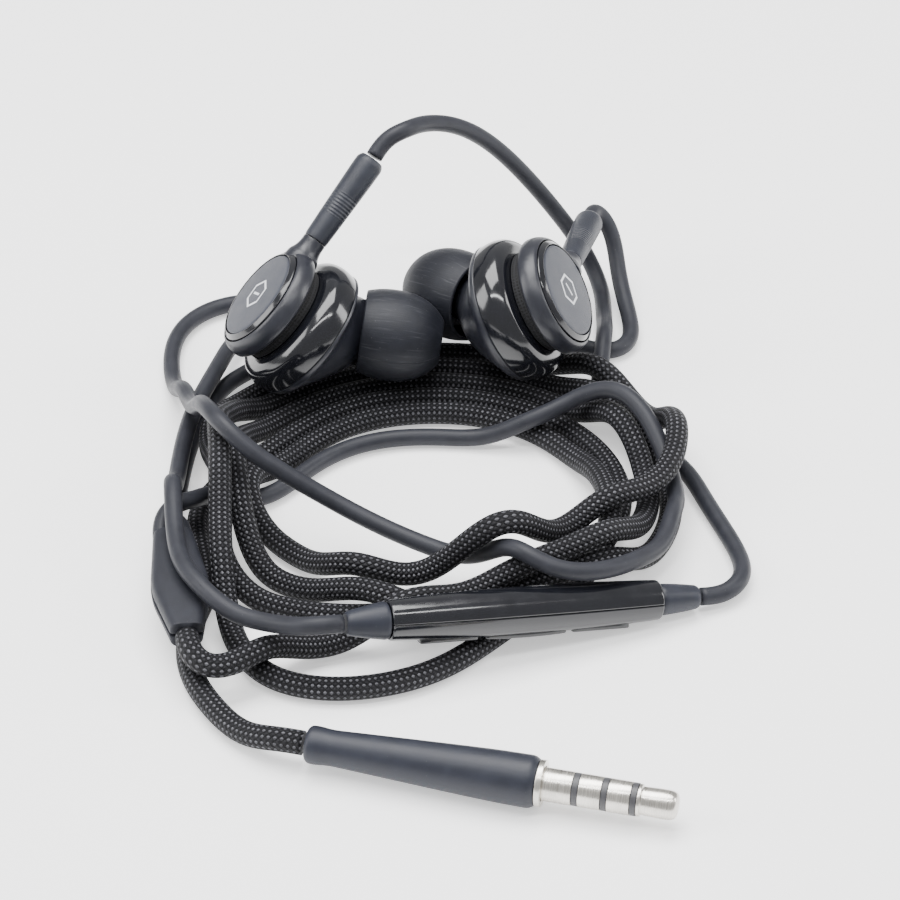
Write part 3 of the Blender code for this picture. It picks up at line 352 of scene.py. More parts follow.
def grid(name, rows, finish, where, loop=False, wrap=True, local=None):
    """A surface through rows[v][u] in local millimetres. wrap joins u's ends, loop joins
    v's ends. A row whose points all meet becomes one pole. The attribute "at" keeps
    local, which is the local place unless something else is given."""
    rows = np.asarray(rows, float)
    local = rows if local is None else np.asarray(local, float)
    nv, nu = rows.shape[:2]
    index = np.arange(nv * nu).reshape(nv, nu)
    flat = np.ptp(rows, axis=1).max(axis=1) < 1e-6
    index[flat] = index[flat][:, :1]
    a = index if wrap else index[:, :-1]
    b = np.roll(index, -1, axis=1) if wrap else index[:, 1:]
    low, high = (a, b), (np.roll(a, -1, axis=0), np.roll(b, -1, axis=0))
    count = nv if loop else nv - 1
    quads = np.stack((low[0], low[1], high[1], high[0]), axis=-1)[:count].reshape(-1, 4)
    faces = without_poles(quads)
    mesh = bpy.data.meshes.new(name)
    mesh.from_pydata(where(rows.reshape(-1, 3)) * MM, [], faces)
    kept = mesh.attributes.new("at", "FLOAT_VECTOR", "POINT")
    kept.data.foreach_set("vector", local.reshape(-1, 3).astype(np.float32).ravel())
    loose = np.ones(nv * nu, bool)
    loose[index] = False
    mesh.update()
    mesh.shade_smooth()
    if loose.any():
        remove_points(mesh, np.nonzero(loose)[0])
    obj = bpy.data.objects.new(name, mesh)
    bpy.context.scene.collection.objects.link(obj)
    mesh.materials.append(FINISH[finish])
    return obj


def remove_points(mesh, which):
    """Take the numbered points out of a mesh: those that a pole has left without a face."""
    bm = bmesh.new()
    bm.from_mesh(mesh)
    bm.verts.ensure_lookup_table()
    bmesh.ops.delete(bm, geom=[bm.verts[int(i)] for i in which], context="VERTS")
    bm.to_mesh(mesh)
    bm.free()


def rounded(corners, radius=0.12, steps=5, closed=False):
    """A polyline whose corners are eased by a quadratic curve of about radius. A corner
    may be (r, z) or (r, z, its own radius)."""
    line = [tuple(c[:2]) for c in corners]
    radii = [c[2] if len(c) > 2 else radius for c in corners]
    n = len(line)
    out = []
    for i, (here, ease) in enumerate(zip(line, radii)):
        if not closed and i in (0, n - 1):
            out.append(here)
            continue
        here = np.array(here)
        before, after = np.array(line[i - 1]), np.array(line[(i + 1) % n])
        back, on = before - here, after - here
        lb, lo = np.linalg.norm(back), np.linalg.norm(on)
        start = here + back / lb * min(ease, lb * 0.48)
        end = here + on / lo * min(ease, lo * 0.48)
        for t in np.linspace(0, 1, steps):
            out.append(tuple((1 - t) ** 2 * start + 2 * t * (1 - t) * here + t * t * end))
    return np.array(out)


def turned(name, corners, finish, where, steps=96, closed=False, radius=0.12, plan=False):
    """Revolve a profile of (r, z) about local z: (r cos u, r sin u, z). What is kept in
    each vertex is (share of the turn, r, z), or the local place itself with plan."""
    profile = rounded(corners, radius, closed=closed)
    u = np.linspace(0, math.tau, steps, endpoint=False)
    r, z = np.maximum(profile[:, 0], 0.0)[:, None], profile[:, 1][:, None]
    rows = np.stack((r * np.cos(u), r * np.sin(u), z + 0 * u), axis=-1)
    kept = np.stack((0 * r + u / math.tau, r + 0 * u, z + 0 * u), axis=-1)
    return grid(name, rows, finish, where, loop=closed, local=None if plan else kept)


def circles(rings, steps=96):
    """Rows of circles of (middle, axis, radius), for grid()."""
    u = np.linspace(0, math.tau, steps, endpoint=False)
    rows = []
    for middle, axis, radius in rings:
        turn = frame_of(axis, (0, 1, 0))
        ring = np.stack((radius * np.cos(u), radius * np.sin(u), 0 * u), axis=-1)
        rows.append(ring @ turn.T + np.asarray(middle, float))
    return np.array(rows)


def eased(table, per=6):
    """Rows of numbers, smoothed by a Catmull-Rom curve with per steps between rows."""
    table = np.asarray(table, float)
    padded = np.vstack([2 * table[0] - table[1], table, 2 * table[-1] - table[-2]])
    out = []
    for i in range(1, len(padded) - 2):
        p0, p1, p2, p3 = padded[i - 1 : i + 3]
        for t in np.linspace(0, 1, per, endpoint=False):
            bend = (2 * p0 - 5 * p1 + 4 * p2 - p3) * t**2 + (3 * p1 - p0 - 3 * p2 + p3) * t**3
            out.append(0.5 * (2 * p1 + (p2 - p0) * t + bend))
    return np.vstack([out, table[-1]])


def tube(name, points, diameter, finish, steps):
    """A round tube along points: p(s) + r (n cos u + b sin u), with n carried along."""
    points = np.asarray(points, float)
    ways = np.gradient(points, axis=0)
    ways /= np.linalg.norm(ways, axis=1)[:, None]
    side = unit(np.cross(ways[0], (0, 0, 1)))
    r = diameter / 2
    u = np.linspace(0, math.tau, steps, endpoint=False)
    along = np.concatenate([[0], np.cumsum(np.linalg.norm(np.diff(points, axis=0), axis=1))])
    sides = []
    for way in ways:
        side = unit(side - way * np.dot(side, way))
        sides.append(side)
    sides = np.array(sides)[:, None]
    ups = np.cross(ways[:, None], sides)
    rows = points[:, None] + r * (np.cos(u)[:, None] * sides + np.sin(u)[:, None] * ups)
    kept = np.stack(np.broadcast_arrays(u / math.tau, along[:, None], 0.0), axis=-1)
    caps = np.repeat(points[[0, -1], None], steps, axis=1)
    rows = np.concatenate([caps[:1], rows, caps[1:]])
    kept = kept[[0, *range(len(kept)), -1]]
    return grid(name, rows, finish, Place(-FOOTPRINT_MIDDLE), local=kept)


# ---------------------------------------------------------------- materials
FINISH = {}


class Nodes:
    """Short ways to add shader nodes to one tree."""

    def __init__(self, tree):
        self.tree = tree

    def add(self, kind, settings=(), **inputs):
        node = self.tree.nodes.new(kind)
        for key, value in dict(settings).items():
            setattr(node, key, value)
        for key, value in inputs.items():
            socket = int(key[1:]) if key[1:].isdigit() else key
            self.feed(node.inputs[socket], value)
        return node

    def feed(self, socket, value):
        if isinstance(value, bpy.types.NodeSocket):
            self.tree.links.new(value, socket)
        else:
            socket.default_value = value

    def math(self, operation, a, b=0.0, c=0.0):
        return self.add("ShaderNodeMath", {"operation": operation}, i0=a, i1=b, i2=c).outputs[0]

    def ramp(self, value, low, high, to_low=0.0, to_high=1.0):
        smooth_step = {"interpolation_type": "SMOOTHSTEP"}
        node = self.add("ShaderNodeMapRange", smooth_step, i0=value, i1=low, i2=high)
        node.inputs[3].default_value = to_low
        node.inputs[4].default_value = to_high
        return node.outputs[0]

    def mix(self, share, a, b):
        node = self.add("ShaderNodeMix", {"data_type": "RGBA"})
        self.feed(node.inputs[0], share)
        self.feed(node.inputs[6], a)
        self.feed(node.inputs[7], b)
        return node.outputs[2]

    def noise(self, vector, scale, detail=2.0, roughness=0.5):
        numbers = {"Scale": scale, "Detail": detail, "Roughness": roughness}
        return self.add("ShaderNodeTexNoise", {}, Vector=vector, **numbers).outputs["Fac"]

    def streaks(self, x, x_scale, y, y_scale, *detail):
        """Noise stretched by its own scale along each of two ways."""
        across = self.math("MULTIPLY", x, x_scale)
        along = self.math("MULTIPLY", y, y_scale)
        spread = self.add("ShaderNodeCombineXYZ", {}, X=across, Y=along)
        return self.noise(spread.outputs[0], 1.0, *detail)

    def place(self):
        """The local place kept in each vertex: x, y, z."""
        node = self.add("ShaderNodeAttribute", {"attribute_name": "at"})
        split = self.add("ShaderNodeSeparateXYZ", {}, Vector=node.outputs["Vector"])
        return node.outputs["Vector"], *split.outputs

    def here(self):
        """The place on the object in millimetres."""
        node = self.add("ShaderNodeTexCoord")
        scaled = self.add("ShaderNodeVectorMath", {"operation": "SCALE"}, i0=node.outputs["Object"])
        scaled.inputs["Scale"].default_value = 1000.0
        return scaled.outputs[0]


def surface_group():
    """One shared group: a fine mottle, sparse dust flecks, and a grain height."""
    tree = bpy.data.node_groups.new("surface", "ShaderNodeTree")
    tree.interface.new_socket("Place", in_out="INPUT", socket_type="NodeSocketVector")
    for name in ("Mottle", "Dust", "Grain"):
        tree.interface.new_socket(name, in_out="OUTPUT", socket_type="NodeSocketFloat")
    n = Nodes(tree)
    given = n.add("NodeGroupInput").outputs["Place"]
    mottle = n.noise(given, 0.55, 4.0, 0.6)
    fleck = n.add("ShaderNodeTexVoronoi", {"feature": "F1"}, Vector=given, Scale=2.3)
    some = n.math("GREATER_THAN", n.noise(given, 1.7, 1.0), 0.56)
    dust = n.math("MULTIPLY", n.ramp(fleck.outputs["Distance"], 0.07, 0.03), some)
    grain = n.noise(given, 9.0, 3.0, 0.7)
    out = n.add("NodeGroupOutput")
    for name, value in (("Mottle", mottle), ("Dust", dust), ("Grain", grain)):
        tree.links.new(value, out.inputs[name])
    return tree


def finish(
    name, colour, rough, metallic=0.0, grain=0.02, dust=0.25, coat=0.0, gleam=0.5, extra=None
):
    """A Principled material from the shared surface group. extra(n, base, rough, height)
    may return other colour, roughness and height sockets."""
    made = bpy.data.materials.new(name)
    made.use_nodes = True
    n = Nodes(made.node_tree)
    shader = made.node_tree.nodes["Principled BSDF"]
    group = n.add("ShaderNodeGroup", {"node_tree": SHARED["surface"]}, Place=n.here())
    mottle, flecks, fine = group.outputs
    darker, lighter = (*(c * 0.9 for c in colour), 1), (*(c * 1.12 for c in colour), 1)
    base = n.mix(n.ramp(mottle, 0.3, 0.7), darker, lighter)
    base = n.mix(n.math("MULTIPLY", flecks, dust), base, (0.5, 0.5, 0.52, 1))
    roughness = n.ramp(mottle, 0.25, 0.75, max(rough - 0.04, 0.02), rough + 0.05)
    height = n.math("MULTIPLY", fine, grain)
    if extra:
        base, roughness, height = extra(n, base, roughness, height)
    bump = n.add("ShaderNodeBump", {}, Strength=1.0, Distance=MM, Height=height)
    n.feed(shader.inputs["Base Color"], base)
    n.feed(shader.inputs["Roughness"], roughness)
    n.feed(shader.inputs["Normal"], bump.outputs[0])
    shader.inputs["Metallic"].default_value = metallic
    shader.inputs["Specular IOR Level"].default_value = gleam
    shader.inputs["Coat Weight"].default_value = coat
    shader.inputs["Coat Roughness"].default_value = 0.06
    FINISH[name] = made


def emblem(n, base, rough, height):
    """A plain pale outline on the face: a hexagon ring with a bar across it."""
    _, x, y, _ = n.place()
    far = n.math("ABSOLUTE", x)
    for a in (60.0, 120.0):
        c, s = math.cos(math.radians(a)), math.sin(math.radians(a))
        side = n.math("ADD", n.math("MULTIPLY", x, c), n.math("MULTIPLY", y, s))
        far = n.math("MAXIMUM", far, n.math("ABSOLUTE", side))
    ring = n.math("ABSOLUTE", n.math("SUBTRACT", far, 1.55))
    line = n.ramp(ring, 0.17, 0.13)
    bar_width = n.ramp(n.math("ABSOLUTE", y), 0.17, 0.13)
    bar_length = n.ramp(n.math("ABSOLUTE", x), 0.85, 0.8)
    mark = n.math("MAXIMUM", line, n.math("MULTIPLY", bar_width, bar_length))
    return n.mix(mark, base, (0.62, 0.63, 0.66, 1)), rough, height


def stem_lines(n, base, rough, height):
    """Fine raised rings across the sleeve, about a third of the way up."""
    _, _, _, along = n.place()
    wave = n.math("SINE", n.math("MULTIPLY", along, math.tau / 0.42))
    where = n.math("MULTIPLY", n.ramp(along, 12.4, 12.8), n.ramp(along, 15.6, 15.2))
    return base, rough, n.math("MULTIPLY_ADD", n.math("MULTIPLY", wave, where), 0.03, height)


def mesh_holes_and_shade(n, base, rough, height):
    """Rows of small round holes in the vent ring, dented in and coloured near black: painted shade inside
    the holes.
    """
    _, around, r, z = n.place()
    u = n.math("PINGPONG", n.math("MULTIPLY", around, 96.0), 0.5)
    v = n.math("PINGPONG", n.math("MULTIPLY", n.math("ADD", z, r), 2.4), 0.5)
    dot = n.math("SQRT", n.math("ADD", n.math("POWER", u, 2.0), n.math("POWER", v, 2.0)))
    hole_and_shade = n.ramp(dot, 0.34, 0.22)
    # Painted shade: each hole is coloured near black, as if its inside lay in shadow.
    return n.mix(hole_and_shade, base, (0.001, 0.001, 0.001, 1)), rough, n.math("MULTIPLY_ADD", hole_and_shade, -0.12, height)


def tip_lines_and_sheen(n, base, rough, height):
    """Faint upright mould lines, and one seam, on the silicone; the crests of the lines are also coloured
    lighter, a painted sheen.
    """
    _, around, _, z = n.place()
    wave = n.streaks(around, 160.0, z, 0.25, 3.0, 0.6)
    seam = n.ramp(n.math("ABSOLUTE", n.math("SUBTRACT", around, TIP_SEAM)), 0.0022, 0.0008)
    height = n.math("MULTIPLY_ADD", wave, 0.02, height)
    # Painted sheen: the raised crests of the lines are coloured lighter.
    base = n.mix(n.math("MULTIPLY", n.ramp(wave, 0.55, 0.75), 0.22), base, (0.14, 0.145, 0.16, 1))
    return base, rough, n.math("MULTIPLY_ADD", seam, 0.05, height)


def lathe_lines(n, base, rough, height):
    """Fine turning marks round the metal."""
    _, _, r, z = n.place()
    marks = n.streaks(z, 22.0, r, 22.0, 2.0)
    return base, n.ramp(marks, 0.2, 0.8, 0.18, 0.36), n.math("MULTIPLY_ADD", marks, 0.006, height)


def woven(n, base, rough, height):
    """Two families of yarns that cross round the cord, with pale flecks in rows, and painted shade
    darkening the grooves between the yarns.
    """
    _, around, along, _ = n.place()
    s = n.math("MULTIPLY", along, 1.0 / 1.3)
    u = n.math("ADD", n.math("MULTIPLY", around, 6.0), s)
    v = n.math("SUBTRACT", n.math("MULTIPLY", around, 6.0), s)
    su = n.math("SINE", n.math("MULTIPLY", u, math.tau))
    sv = n.math("SINE", n.math("MULTIPLY", v, math.tau))
    over = n.math("MULTIPLY", su, sv)
    body = n.math("ABSOLUTE", over)
    thread = n.math("SINE", n.math("MULTIPLY", n.math("ADD", u, v), math.tau * 2.0))
    pale = n.math("MULTIPLY", n.ramp(over, 0.3, 0.62), n.ramp(thread, -0.6, 0.5, 0.45, 1.0))
    worn = n.noise(n.here(), 0.35, 2.0)
    pale = n.math("MULTIPLY", pale, n.ramp(worn, 0.3, 0.7, 0.55, 1.0))
    # Painted shade: the grooves between the yarns, low in the bump, are coloured darker.
    base = n.mix(n.ramp(body, 0.0, 0.35), (0.004, 0.004, 0.005, 1), base)
    base = n.mix(pale, base, (0.13, 0.13, 0.145, 1))
    return base, rough, n.math("MULTIPLY_ADD", n.math("POWER", body, 0.6), 0.16, height)


def jacket_lines(n, base, rough, height):
    """Long faint flow lines along the rubber cords."""
    _, around, along, _ = n.place()
    flow = n.streaks(around, 14.0, along, 0.05, 2.0)
    rough = n.math("ADD", rough, n.ramp(flow, 0.3, 0.7, -0.05, 0.06))
    return base, rough, n.math("MULTIPLY_ADD", flow, 0.012, height)


def key_gap_shade(n, base, rough, height):
    """Painted shade in the gaps round the three keys: the shell there is coloured near black, made rougher
    and dented in.
    """
    _, x, y, z = n.place()
    gap_shade = 0.0
    left = KEYS_START
    for length in KEY_LENGTHS:
        from_middle = n.math("ABSOLUTE", n.math("SUBTRACT", x, left + length / 2))
        dx = n.math("SUBTRACT", from_middle, length / 2)
        dy = n.math("SUBTRACT", n.math("ABSOLUTE", y), KEY_WIDTH / 2)
        near = n.ramp(n.math("MAXIMUM", dx, dy), 0.24, 0.16)
        gap_shade = n.math("MAXIMUM", near, gap_shade)
        left += length + KEY_GAP
    gap_shade = n.math("MULTIPLY", gap_shade, n.math("LESS_THAN", z, -0.5))
    # Painted shade: the gaps round the keys are coloured near black.
    base = n.mix(gap_shade, base, (0.0015, 0.0015, 0.0015, 1))
    rough = n.math("MULTIPLY_ADD", gap_shade, 0.5, rough)
    return base, rough, n.math("MULTIPLY_ADD", gap_shade, -0.2, height)


TIP_SEAM = 0.62
SHARED = {"surface": surface_group()}


def make_finishes():
    """Every finish by name: its colour, roughness and what it adds to the shared surface."""
    finish("soft_black", (0.016, 0.018, 0.027), 0.42, gleam=0.35)
    finish("face", (0.028, 0.031, 0.043), 0.44, gleam=0.4, extra=emblem)
    finish("sleeve", (0.017, 0.019, 0.027), 0.42, gleam=0.4, extra=stem_lines)
    finish("satin_black", (0.013, 0.014, 0.020), 0.34, grain=0.008)
    finish("gloss_black", (0.006, 0.0065, 0.009), 0.14, grain=0.0, dust=0.1, coat=0.3)
    finish("key_shell", (0.006, 0.0065, 0.009), 0.14, grain=0.0, dust=0.1, coat=0.3, extra=key_gap_shade)
    finish("mesh_black", (0.008, 0.008, 0.010), 0.8, extra=mesh_holes_and_shade)
    finish("silicone", (0.010, 0.011, 0.016), 0.5, grain=0.012, dust=0.5, gleam=0.3, extra=tip_lines_and_sheen)
    finish("satin_grey", (0.018, 0.019, 0.025), 0.5, gleam=0.22)
    finish("rubber_grey", (0.022, 0.023, 0.029), 0.46, grain=0.006, gleam=0.22, extra=jacket_lines)
    finish("braid", (0.008, 0.008, 0.010), 0.6, grain=0.03, dust=0.0, gleam=0.2, extra=woven)
    finish("steel", (0.5, 0.5, 0.5), 0.35, metallic=1.0)
    finish("jack_metal", (0.66, 0.63, 0.58), 0.26, metallic=1.0, grain=0.0, dust=0.0, extra=lathe_lines)
    finish("insulator", (0.05, 0.05, 0.055), 0.4, grain=0.0)
    finish("membrane", (0.4, 0.34, 0.2), 0.35)
    finish("board", (0.015, 0.1, 0.04), 0.4)


# ---------------------------------------------------------------- pieces
def stands_for(obj, node, body="earphones"):
    """The made surface takes the place of the frame's node and moves with its body."""
    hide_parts(node)
    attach(obj, body)
    return obj


def bud(side, pose, hand):
    """Each piece is a profile turned about the bud's axis, but for the front housing: a
    stack of circles whose middle and axis bend over towards the nozzle."""
    turn = frame_of(heading(*pose["out"]), heading(*pose["stem"]))
    where = Place(np.array(pose["place"]) - FOOTPRINT_MIDDLE, turn)
    bottom = FACE_TOP_Z - FACE_THICK
    face = [
        (0, 7.07), (3.0, 7.03, 1.0), (5.25, 6.96, 0.3), (FACE_R, 6.86, 0.1), (FACE_R, bottom), (0, bottom),
    ]
    stands_for(turned(f"{side}_face", face, "face", where, plan=True), f"{side}_face_plate")
    inner, outer = FACE_R + FIT, FACE_R + FIT + BEZEL_WIDTH
    top = FACE_TOP_Z - BEZEL_DROP
    bezel = [
        (inner, 6.86, 0.05), (inner + 0.07, FACE_TOP_Z, 0.06), (outer, top, 0.1),
        (outer, bottom), (inner, bottom),
    ]
    stands_for(turned(f"{side}_bezel", bezel, "gloss_black", where, closed=True), f"{side}_bezel_ring")
    seat, drum = outer + FIT, outer + FIT + DRUM_WALL
    shell = [
        (seat + 0.06, top - 0.08, 0.08), (seat + 0.42, top - 0.34, 0.4), (drum - 0.08, top - 1.1, 0.7),
        (drum, DRUM_REAR_Z + 0.6, 0.4), (drum - 0.1, DRUM_REAR_Z + 0.12, 0.25),
        (drum - 0.5, DRUM_REAR_Z, 0.2),
        (DRUM_NECK_R, DRUM_REAR_Z, 0.1), (DRUM_NECK_R, RING_FRONT_Z + FIT),
        (DRUM_NECK_R - DRUM_WALL, RING_FRONT_Z + FIT), (DRUM_NECK_R - DRUM_WALL, 4.85),
        (FACE_R - 0.3, 4.85), (FACE_R - 0.3, 5.75), (seat, 5.75),
    ]
    stands_for(turned(f"{side}_drum", shell, "satin_black", where, closed=True), f"{side}_rear_housing")
    up_stem = where.inner((0, 0, STEM_Z), turn_about("X", -90))
    flare = [
        (0, STEM_NECK_END), (STEM_NECK_R, STEM_NECK_END, 0.06), (STEM_NECK_R, 8.1, 0.8),
        (1.62, 7.3, 0.6), (1.95, 6.75, 0.3), (2.1, 5.6), (0, 5.6),
    ]
    stands_for(turned(f"{side}_flare", flare, "satin_black", up_stem, steps=48), f"{side}_rear_housing")
    start = STEM_NECK_END + FIT
    sleeve = [
        (0, STEM_END), (STEM_R - 0.34, STEM_END, 0.08), (STEM_R - 0.02, STEM_END - 0.5, 0.3),
        (STEM_R, STEM_END - 1.2, 0.5), (STEM_R - 0.1, STEM_END - 6.0, 3.0),
        (STEM_NECK_R + 0.05, start + 0.5, 0.4), (STEM_NECK_R, start, 0.1), (0, start),
    ]
    stands_for(turned(f"{side}_sleeve", sleeve, "sleeve", up_stem, steps=64), f"{side}_strain_relief")
    vent_low, vent_high = RING_FRONT_Z + FIT, DRUM_REAR_Z - FIT
    vent = [(6.1, vent_high), (6.1, vent_low), (5.1, vent_low), (5.1, vent_high)]
    vent_made = turned(f"{side}_vent", vent, "mesh_black", where, closed=True, radius=0.05)
    stands_for(vent_made, f"{side}_vent_ring")
    cavity = RING_R - 1.0
    ring = [
        (6.35, RING_FRONT_Z, 0.25), (7.28, RING_FRONT_Z - 0.2, 0.7), (8.08, RING_FRONT_Z - 0.92, 0.9),
        (8.43, RING_FRONT_Z - 1.8, 0.8), (RING_R, 0.1, 0.9), (RING_R - 0.12, PARTING_Z, 0.1),
        (cavity, PARTING_Z), (cavity, 1.2, 0.2), (6.9, 1.7, 0.2), (1.3, 1.7), (1.3, RING_FRONT_Z),
    ]
    ring_made = turned(f"{side}_ring", ring, "gloss_black", where, steps=160, closed=True)
    stands_for(ring_made, f"{side}_mid_housing")
    cone(side, hand, where)
    way = unit(NOZZLE_DIR * (hand, 1, 1))
    base = NOZZLE_BASE * (hand, 1, 1)
    tip_place = where.inner(base, frame_of(way, (0, 1, 0)))
    tip = [
        (2.12, 9.28, 0.05), (2.3, TIP_LENGTH - 0.05, 0.14), (2.75, 9.36, 0.4), (3.9, 8.35, 1.2),
        (4.75, 7.0, 1.4), (5.27, 5.3, 1.5), (TIP_R, 3.65, 1.4), (5.28, 1.75, 1.2), (4.84, 0.1, 0.16),
        (4.5, 0.02, 0.16), (4.7, 1.9, 0.9), (4.85, 3.8, 0.9), (4.3, 6.0, 0.8), (3.45, 7.3, 0.4),
        (3.45, 2.1, 0.1), (TIP_BORE_R, 2.1, 0.1), (TIP_BORE_R, 7.7, 0.1), (2.1, 8.1, 0.1),
    ]
    tip_made = turned(f"{side}_tip_surface", tip, "silicone", tip_place, steps=144, closed=True)
    stands_for(tip_made, f"{side}_eartip", f"{side}_tip")
    gauze = [(0, 0.3), (NOZZLE_BORE_R - FIT, 0.3), (NOZZLE_BORE_R - FIT, 0), (0, 0)]
    gauze_place = where.inner(base + way * (NOZZLE_LENGTH - 0.6), frame_of(way, (0, 1, 0)))
    gauze_made = turned(f"{side}_gauze", gauze, "steel", gauze_place, steps=48, radius=0.04)
    stands_for(gauze_made, f"{side}_nozzle_mesh")


def cone(side, hand, where):
    """The front housing: circles eased between the same stations as the part's, then the
    bore back up inside."""
    base, way = NOZZLE_BASE * (hand, 1, 1), unit(NOZZLE_DIR * (hand, 1, 1))
    down = np.array((0.0, 0.0, -1.0))
    top = PARTING_Z - FIT
    depth = top - base[2]

    def station(share, drop, tilt, radius):
        return (*(base[:2] * share), top - drop, *unit(down + (way - down) * tilt), radius)

    def along(reach, radius):
        return (*(base + way * reach), *way, radius)

    outer = eased([
        station(0.0, 0.0, 0.0, RING_R - 0.14), station(0.06, depth * 0.17, 0.1, RING_R - 0.42),
        station(0.22, depth * 0.4, 0.3, 6.55), station(0.55, depth * 0.72, 0.65, 5.05),
        along(-0.2, CONE_END_R + 0.05), along(0.9, 3.0), along(1.7, NOZZLE_R), along(3.0, NOZZLE_R),
    ])
    nozzle_end = [
        (3.1, NOZZLE_R), (4.4, NOZZLE_R, 0.1), (4.7, 2.55, 0.1), (5.1, 2.55, 0.1), (5.55, 2.32, 0.1),
        (NOZZLE_LENGTH, NOZZLE_BORE_R + 0.05, 0.05), (0.6, NOZZLE_BORE_R),
    ]
    barb = [along(reach, radius) for reach, radius in rounded(nozzle_end, 0.1)]
    inside = [
        station(0.55, depth * 0.6, 0.55, 4.0), station(0.22, depth * 0.32, 0.25, 5.7),
        station(0.03, depth * 0.12, 0.05, 7.1), station(0.0, 0.0, 0.0, 7.46),
    ]
    rings = [(row[:3], row[3:6], row[6]) for row in [*outer, *barb, *inside]]
    rows = circles(rings, 128)
    stands_for(grid(f"{side}_cone", rows, "satin_black", where, loop=True), f"{side}_front_housing")


def remote():
    """Two shells, each half of a profile r(x) turned about the long axis and drawn in at its
    seam, then the three key pads and a turned relief at each end."""
    left, right = np.array(REMOTE["left"]), np.array(REMOTE["right"])
    x = unit(right - left)
    z = frame_of(x, (0, 0, 1))[:, 1]
    turn = np.column_stack((x, np.cross(z, x), z)) @ turn_about("X", REMOTE["roll"])
    where = Place((left + right) / 2 - FOOTPRINT_MIDDLE, turn)
    half = BODY_LENGTH / 2
    line = rounded([
        (0, -half), (BODY_END_R - 0.02, -half, 0.3), (BODY_END_R + 0.14, -half * 0.8, 2.0),
        (BODY_R, -half * 0.4, 4.0), (BODY_R, half * 0.4, 4.0), (BODY_END_R + 0.14, half * 0.8, 2.0),
        (BODY_END_R - 0.02, half, 0.3), (0, half),
    ], steps=12)
    seam, count = 0.022, 72
    shrink = np.concatenate([[0.5, 0.2, 0.05], np.zeros(count), [0.05, 0.2, 0.5]])
    for name, node, first, skin in (
        ("remote_top", "remote_top_shell", 0.0, "gloss_black"),
        ("remote_keys_side", "remote_key_shell", math.pi, "key_shell"),
    ):
        half_turn = np.linspace(seam, math.pi - seam, count)
        angles = np.concatenate([[seam] * 3, half_turn, [math.pi - seam] * 3]) + first
        radius = np.maximum(line[:, :1] - shrink, 0.0)
        along = line[:, 1:] + 0 * angles
        rows = np.stack((along, radius * np.cos(angles), radius * np.sin(angles)), axis=-1)
        stands_for(grid(name, rows, skin, where, wrap=False), node)
    place = KEYS_START
    for name, length in zip(("volume_up", "play", "volume_down"), KEY_LENGTHS):
        raise_by = 0.16 if name == "play" else 0.0
        pad = key(name + "_pad", place + length / 2, length, raise_by, where)
        stands_for(pad, name + "_key", name + "_key_body")
        place += length + KEY_GAP
    for side, sign, root in (("left", -1, 2.05), ("right", 1, 1.75)):
        relief = [
            (0, RELIEF_LENGTH), (1.12, RELIEF_LENGTH, 0.08), (1.32, RELIEF_LENGTH - 0.3, 0.2),
            (root * 0.5 + 0.72, RELIEF_LENGTH * 0.5, 2.0), (root, 0.3, 0.3), (root - 0.12, 0, 0.05), (0, 0),
        ]
        end = where.inner((sign * (half + FIT), 0, 0), turn_about("Y", 90 * sign))
        made = turned(f"remote_{side}_cone", relief, "soft_black", end, steps=64)
        stands_for(made, f"remote_{side}_relief")


def key(name, middle, length, raise_by, where):
    """A pad that follows the body's curve: |x/a|^7 + |y/b|^7 = 1, stepped in at its rim."""
    u = np.linspace(0, math.tau, 96, endpoint=False)
    a, b = length / 2 - 0.02, KEY_WIDTH / 2 - 0.02
    rows = []
    rim = ((0.0, 1.0), (0.0, 0.3), (0.0, 0.14), (0.03, 0.06), (0.09, 0.015), (0.2, 0.0))
    crowned = ((0.5, -0.02), (0.8, -0.03), (1.0, -0.03))
    for inset, sink in rim + crowned:
        sa, sb = (a - inset, b - inset) if inset < 0.5 else (a * (1 - inset), b * (1 - inset))
        x = sa * np.sign(np.cos(u)) * np.abs(np.cos(u)) ** (2 / 7)
        y = sb * np.sign(np.sin(u)) * np.abs(np.sin(u)) ** (2 / 7)
        crown = raise_by * (1 - (x / a) ** 2)
        z = -np.sqrt((BODY_R + KEY_PROUD - sink) ** 2 - y**2) - crown
        rows.append(np.column_stack((x + middle, y, z)))
    return grid(name, rows, "gloss_black", where)


def splitter_place():
    """The splitter's frame: x across it, y down its length, z up out of its flat side."""
    top, bottom = np.array(SPLITTER["top"]), np.array(SPLITTER["bottom"])
    y = unit(bottom - top)
    z = frame_of(y, (0, 0, 1))[:, 1]
    return Place(top, np.column_stack((np.cross(y, z), y, z)) @ turn_about("Y", SPLITTER["roll"]))


def splitter():
    """Two halves: half widths w(y) and half depths t(y) eased down the length, sections
    |x/w|^4 + |z/t|^4 = 1, parted by a thin groove."""
    laid = splitter_place()
    where = Place(laid.at - FOOTPRINT_MIDDLE, laid.turn)
    w, t, length = SPLITTER_WIDTH / 2, SPLITTER_THICK / 2, SPLITTER_LENGTH
    half_outline = [(0, 0), (2.2, 0.0, 0.3), (w, length * 0.56, 2.2), (1.75, length, 0.3), (0, length)]
    shape = rounded(half_outline, steps=10)
    seam = 0.02
    count = 60
    shrink = np.concatenate([[0.75, 0.93], np.ones(count), [0.93, 0.75]])
    wide, along = shape[:, :1], shape[:, 1:]
    swell = np.minimum(1.0, 0.86 + 0.14 * np.sin(math.pi * along / length))
    deep = t * swell * np.minimum(1.0, wide / 1.4)
    for name, node, first in (
        ("splitter_top", "splitter_upper_half", 0.0),
        ("splitter_base", "splitter_lower_half", math.pi),
    ):
        half_turn = np.linspace(seam, math.pi - seam, count)
        angles = np.concatenate([[seam] * 2, half_turn, [math.pi - seam] * 2]) + first
        c, s = np.cos(angles), np.sin(angles)
        x = wide * shrink * np.sign(c) * np.abs(c) ** 0.5
        z = deep * shrink * np.sign(s) * np.abs(s) ** 0.5
        rows = np.stack((x, along + 0 * angles, z), axis=-1)
        stands_for(grid(name, rows, "satin_grey", where, wrap=False), node)


